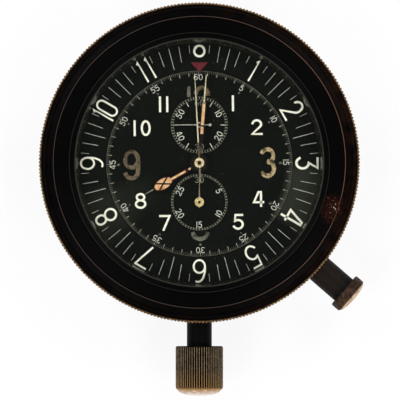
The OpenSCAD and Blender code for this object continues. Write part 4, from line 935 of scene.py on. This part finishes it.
for centre, radius, labels in ((UPPER, 5.55, SECONDS), (LOWER, 5.64, MINUTES)):
    for n, label in enumerate(labels):
        angle = 60 * n
        over = 180 if 90 < angle < 270 else 0
        bm = faint_numbers if label in (60, 30) else clear_numbers
        at = on_circle(radius, angle, centre)
        number(bm, str(label), at, over - angle, SMALL_NUMERAL, SMALL_STROKE, SMALL_GAP, sub_top)
piece("small_dial_numerals", clear_numbers, white_ink, "case")
piece("small_dial_faint", faint_numbers, grey_ink, "case")

# %% [markdown]
# The large glowing numerals were painted by hand over the dial. The three and the nine remain as brown
# paste; of the twelve and the six only what the small dials leave. They are thicker than ink, with
# ragged edges, so their width wanders a little from point to point by a seeded draw.

# %% Worn numerals
RAG = random.Random(12)
PASTE_T, PASTE_UNEVEN = 0.05, 0.02
NARROWEST, WIDEST, OVERLAP = 0.72, 1.08, 0.22  # shares of a stroke's width


def ragged(bm, line, width, closed=False):
    """A thick painted stroke whose width wanders, made of short overlapping ribbons."""
    for a, b in zip(line, line[1:] + (line[:1] if closed else [])):
        way = (b - a).normalized() * width * OVERLAP
        ribbon(bm, [a - way, b + way], width * RAG.uniform(NARROWEST, WIDEST), dial_top - SUNK_IN,
               dial_top + PASTE_T + RAG.uniform(0.0, PASTE_UNEVEN))


PAINTED_SIZE, PAINTED_STROKE = (4.35, 7.8), 1.1
HOOKED_NINE = [
    (loop(0.5, 0.7, 0.5, 0.3), True), (points((1, 0.6)) + arc(0.5, 0.27, 0.5, 0.27, 0, -160), False)]
for name, finish, strokes, (x, y) in (("painted_three", tan_paste, STROKES["3"], (17.2, 0.25)),
                                      ("painted_nine", brown_paste, HOOKED_NINE, (-17.0, -0.38))):
    bm = bmesh.new()
    wide, tall = (side - PAINTED_STROKE for side in PAINTED_SIZE)
    for line, closed in strokes:
        spots = points(*((x + (p.x - 0.5) * wide, y + (p.y - 0.5) * tall) for p in line))
        ragged(bm, spots, PAINTED_STROKE, closed)
    piece(name, bm, finish, "case")
bm = bmesh.new()
ragged(bm, arc(0.66, 17.55, 1.55, 1.55, 180, -10, 8), 1.0)
piece("painted_two", bm, brown_paste, "case")
bm = bmesh.new()
ragged(bm, [Vector((-2.66, y)) for y in (16.9, 17.65, 18.4, 19.2)], 0.9)
ragged(bm, arc(0.23, -17.25, 1.85, 1.7, 188, 352, 9), PAINTED_STROKE)
piece("painted_remains", bm, grey_paste, "case")

# %% Worn dots
DOT_CIRCLE, DOT_R, DOT_T = 20.35, 0.24, 0.02
DOT_LEFT = {3: 0.39, 4: 0.39, 6: 0.3, 7: 0.33, 9: 0.36}
bm = bmesh.new()
for hour in range(1, 12):
    dot = DOT_LEFT.get(hour, DOT_R)
    outline = loop(*on_circle(DOT_CIRCLE, 30 * hour + SLIP), dot, dot, 12)
    prism(bm, outline, dial_top - SUNK_IN, dial_top + DOT_T, DOT_T)
piece("painted_dots", bm, grey_paste, "case")

# %% [markdown]
# The open cells of the hour and minute hands are filled with the orange paste, which crowned as it
# dried. Each cell is cut from its outline by the cross bars of the hand, then raised a little.

# %% Paste in the hands
def cut(outline, point, normal):
    """The part of an outline on the side of a line that the normal points to."""
    kept = []
    for a, b in zip(outline, outline[1:] + outline[:1]):
        da, db = (a - point).dot(normal), (b - point).dot(normal)
        if da >= 0:
            kept.append(a)
        if da * db < 0:
            kept.append(a + (b - a) * (da / (da - db)))
    return kept


def box_outline(x0, x1, half, steps=10):
    """A rectangle along x with points along its long sides, for a smooth crown."""
    xs = [x0 + (x1 - x0) * k / steps for k in range(steps + 1)]
    return [Vector((x, -half)) for x in xs] + [Vector((x, half)) for x in reversed(xs)]


HAND_T, CELL_FLOOR, CELL_CROWN, DROP_T, DROP_CROWN = 0.2, 0.03, 0.06, 0.02, 0.04


def fill(name, body, cells, angle, level, drops=()):
    """Fills the cells of a hand, given along x, with crowned paste, and lays drops of it on top."""
    bm = bmesh.new()
    turn = Matrix.Rotation(math.radians(angle), 2)
    face = level + HAND_T
    for cell in cells:
        prism(bm, [turn @ p for p in cell], level + CELL_FLOOR, face - SUNK_IN, CELL_CROWN)
    for drop in drops:
        prism(bm, [turn @ p for p in drop], face - SUNK_IN, face + DROP_T, DROP_CROWN)
    piece(name, bm, orange_paste, body)


# %% Cells of the hands
HOUR_ANGLE, MINUTE_ANGLE = -150.375, 85.5
HOUR_LEVEL, MINUTE_LEVEL = dial_top + 0.75, dial_top + 1.9
LEAF_HALF, BAR_HALF, SLANT = (2.36, 1.26), 0.21, math.radians(31)
STEM, STEM_HALF = (3.95, 8.1), 0.26
MINUTE_CELLS, MINUTE_HALF = ((7.35, 9.1), (9.65, 15.0)), 0.36
cross = Vector((10.4, 0))
leaf = loop(*cross, *LEAF_HALF, 48)
up_right, up_left = points((-math.sin(SLANT), math.cos(SLANT)), (math.sin(SLANT), math.cos(SLANT)))
hour_cells = []
for one, two in ((1, 1), (-1, -1), (-1, 1), (1, -1)):
    cell = cut(leaf, cross + up_right * one * BAR_HALF, up_right * one)
    hour_cells.append(cut(cell, cross + up_left * two * BAR_HALF, up_left * two))
hour_cells.append(box_outline(*STEM, STEM_HALF))
minute_cells = [box_outline(*ends, MINUTE_HALF) for ends in MINUTE_CELLS]
fill("hour_paste", "hours", hour_cells, HOUR_ANGLE, HOUR_LEVEL, [loop(2.8, 0, 0.4, 0.27, 12)])
fill("minute_paste", "minutes", minute_cells, MINUTE_ANGLE, MINUTE_LEVEL)

# %% [markdown]
# Inside the case a coil spring pushes the pusher back out. A solid spring would let the pusher cut
# through it, so this one is a wire swept along a spiral, which takes the solid's place.

# %% Spring tree
spring_tree, given, spring_id = named_tree("wound_spring", (
    ("Turns", "Float"), ("Coil radius", "Float"), ("Wire radius", "Float"), ("Rise", "Float"),
    ("Start", "Vector"), ("Turn", "Rotation"), ("Metal", "Material")))
spiral = add(spring_tree, "GeometryNodeCurveSpiral", {
    "Resolution": 24, "Rotations": given["Turns"], "Start Radius": given["Coil radius"],
    "End Radius": given["Coil radius"], "Height": given["Rise"]})
section = add(spring_tree, "GeometryNodeCurvePrimitiveCircle", {
    "Resolution": 10, "Radius": given["Wire radius"]})
wound = add(spring_tree, "GeometryNodeCurveToMesh", {
    "Curve": spiral, "Profile Curve": section, "Fill Caps": True})
placed = add(spring_tree, "GeometryNodeTransform", {
    "Geometry": wound, "Translation": given["Start"], "Rotation": given["Turn"]})
real = add(spring_tree, "GeometryNodeRealizeInstances", {0: placed})
plated = add(spring_tree, "GeometryNodeSetMaterial", {"Geometry": real, "Material": given["Metal"]})
add(spring_tree, "NodeGroupOutput", {0: plated})
print("spring tree has", len(spring_tree.nodes), "nodes")

# %% Pusher spring
SPRING_LENGTH, SPRING_R, WIRE_R, PUSH = 4.7 * MM, 2.4 * MM, 0.25 * MM, 2.0 * MM
way_out = Vector((math.cos(PUSH_ANGLE), math.sin(PUSH_ANGLE), 0))
spring_low, spring_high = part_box("pusher_spring")
inner_end = (spring_low + spring_high) / 2 - way_out * SPRING_LENGTH / 2
spring = bake("pusher_spring_wire", spring_tree, spring_id, {
    "Turns": 5.0, "Coil radius": SPRING_R, "Wire radius": WIRE_R, "Rise": SPRING_LENGTH - 2 * WIRE_R,
    "Start": inner_end + way_out * WIRE_R, "Turn": (0.0, math.pi / 2, PUSH_ANGLE), "Metal": steel},
    "case")
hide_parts("pusher_spring")
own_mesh(spring)
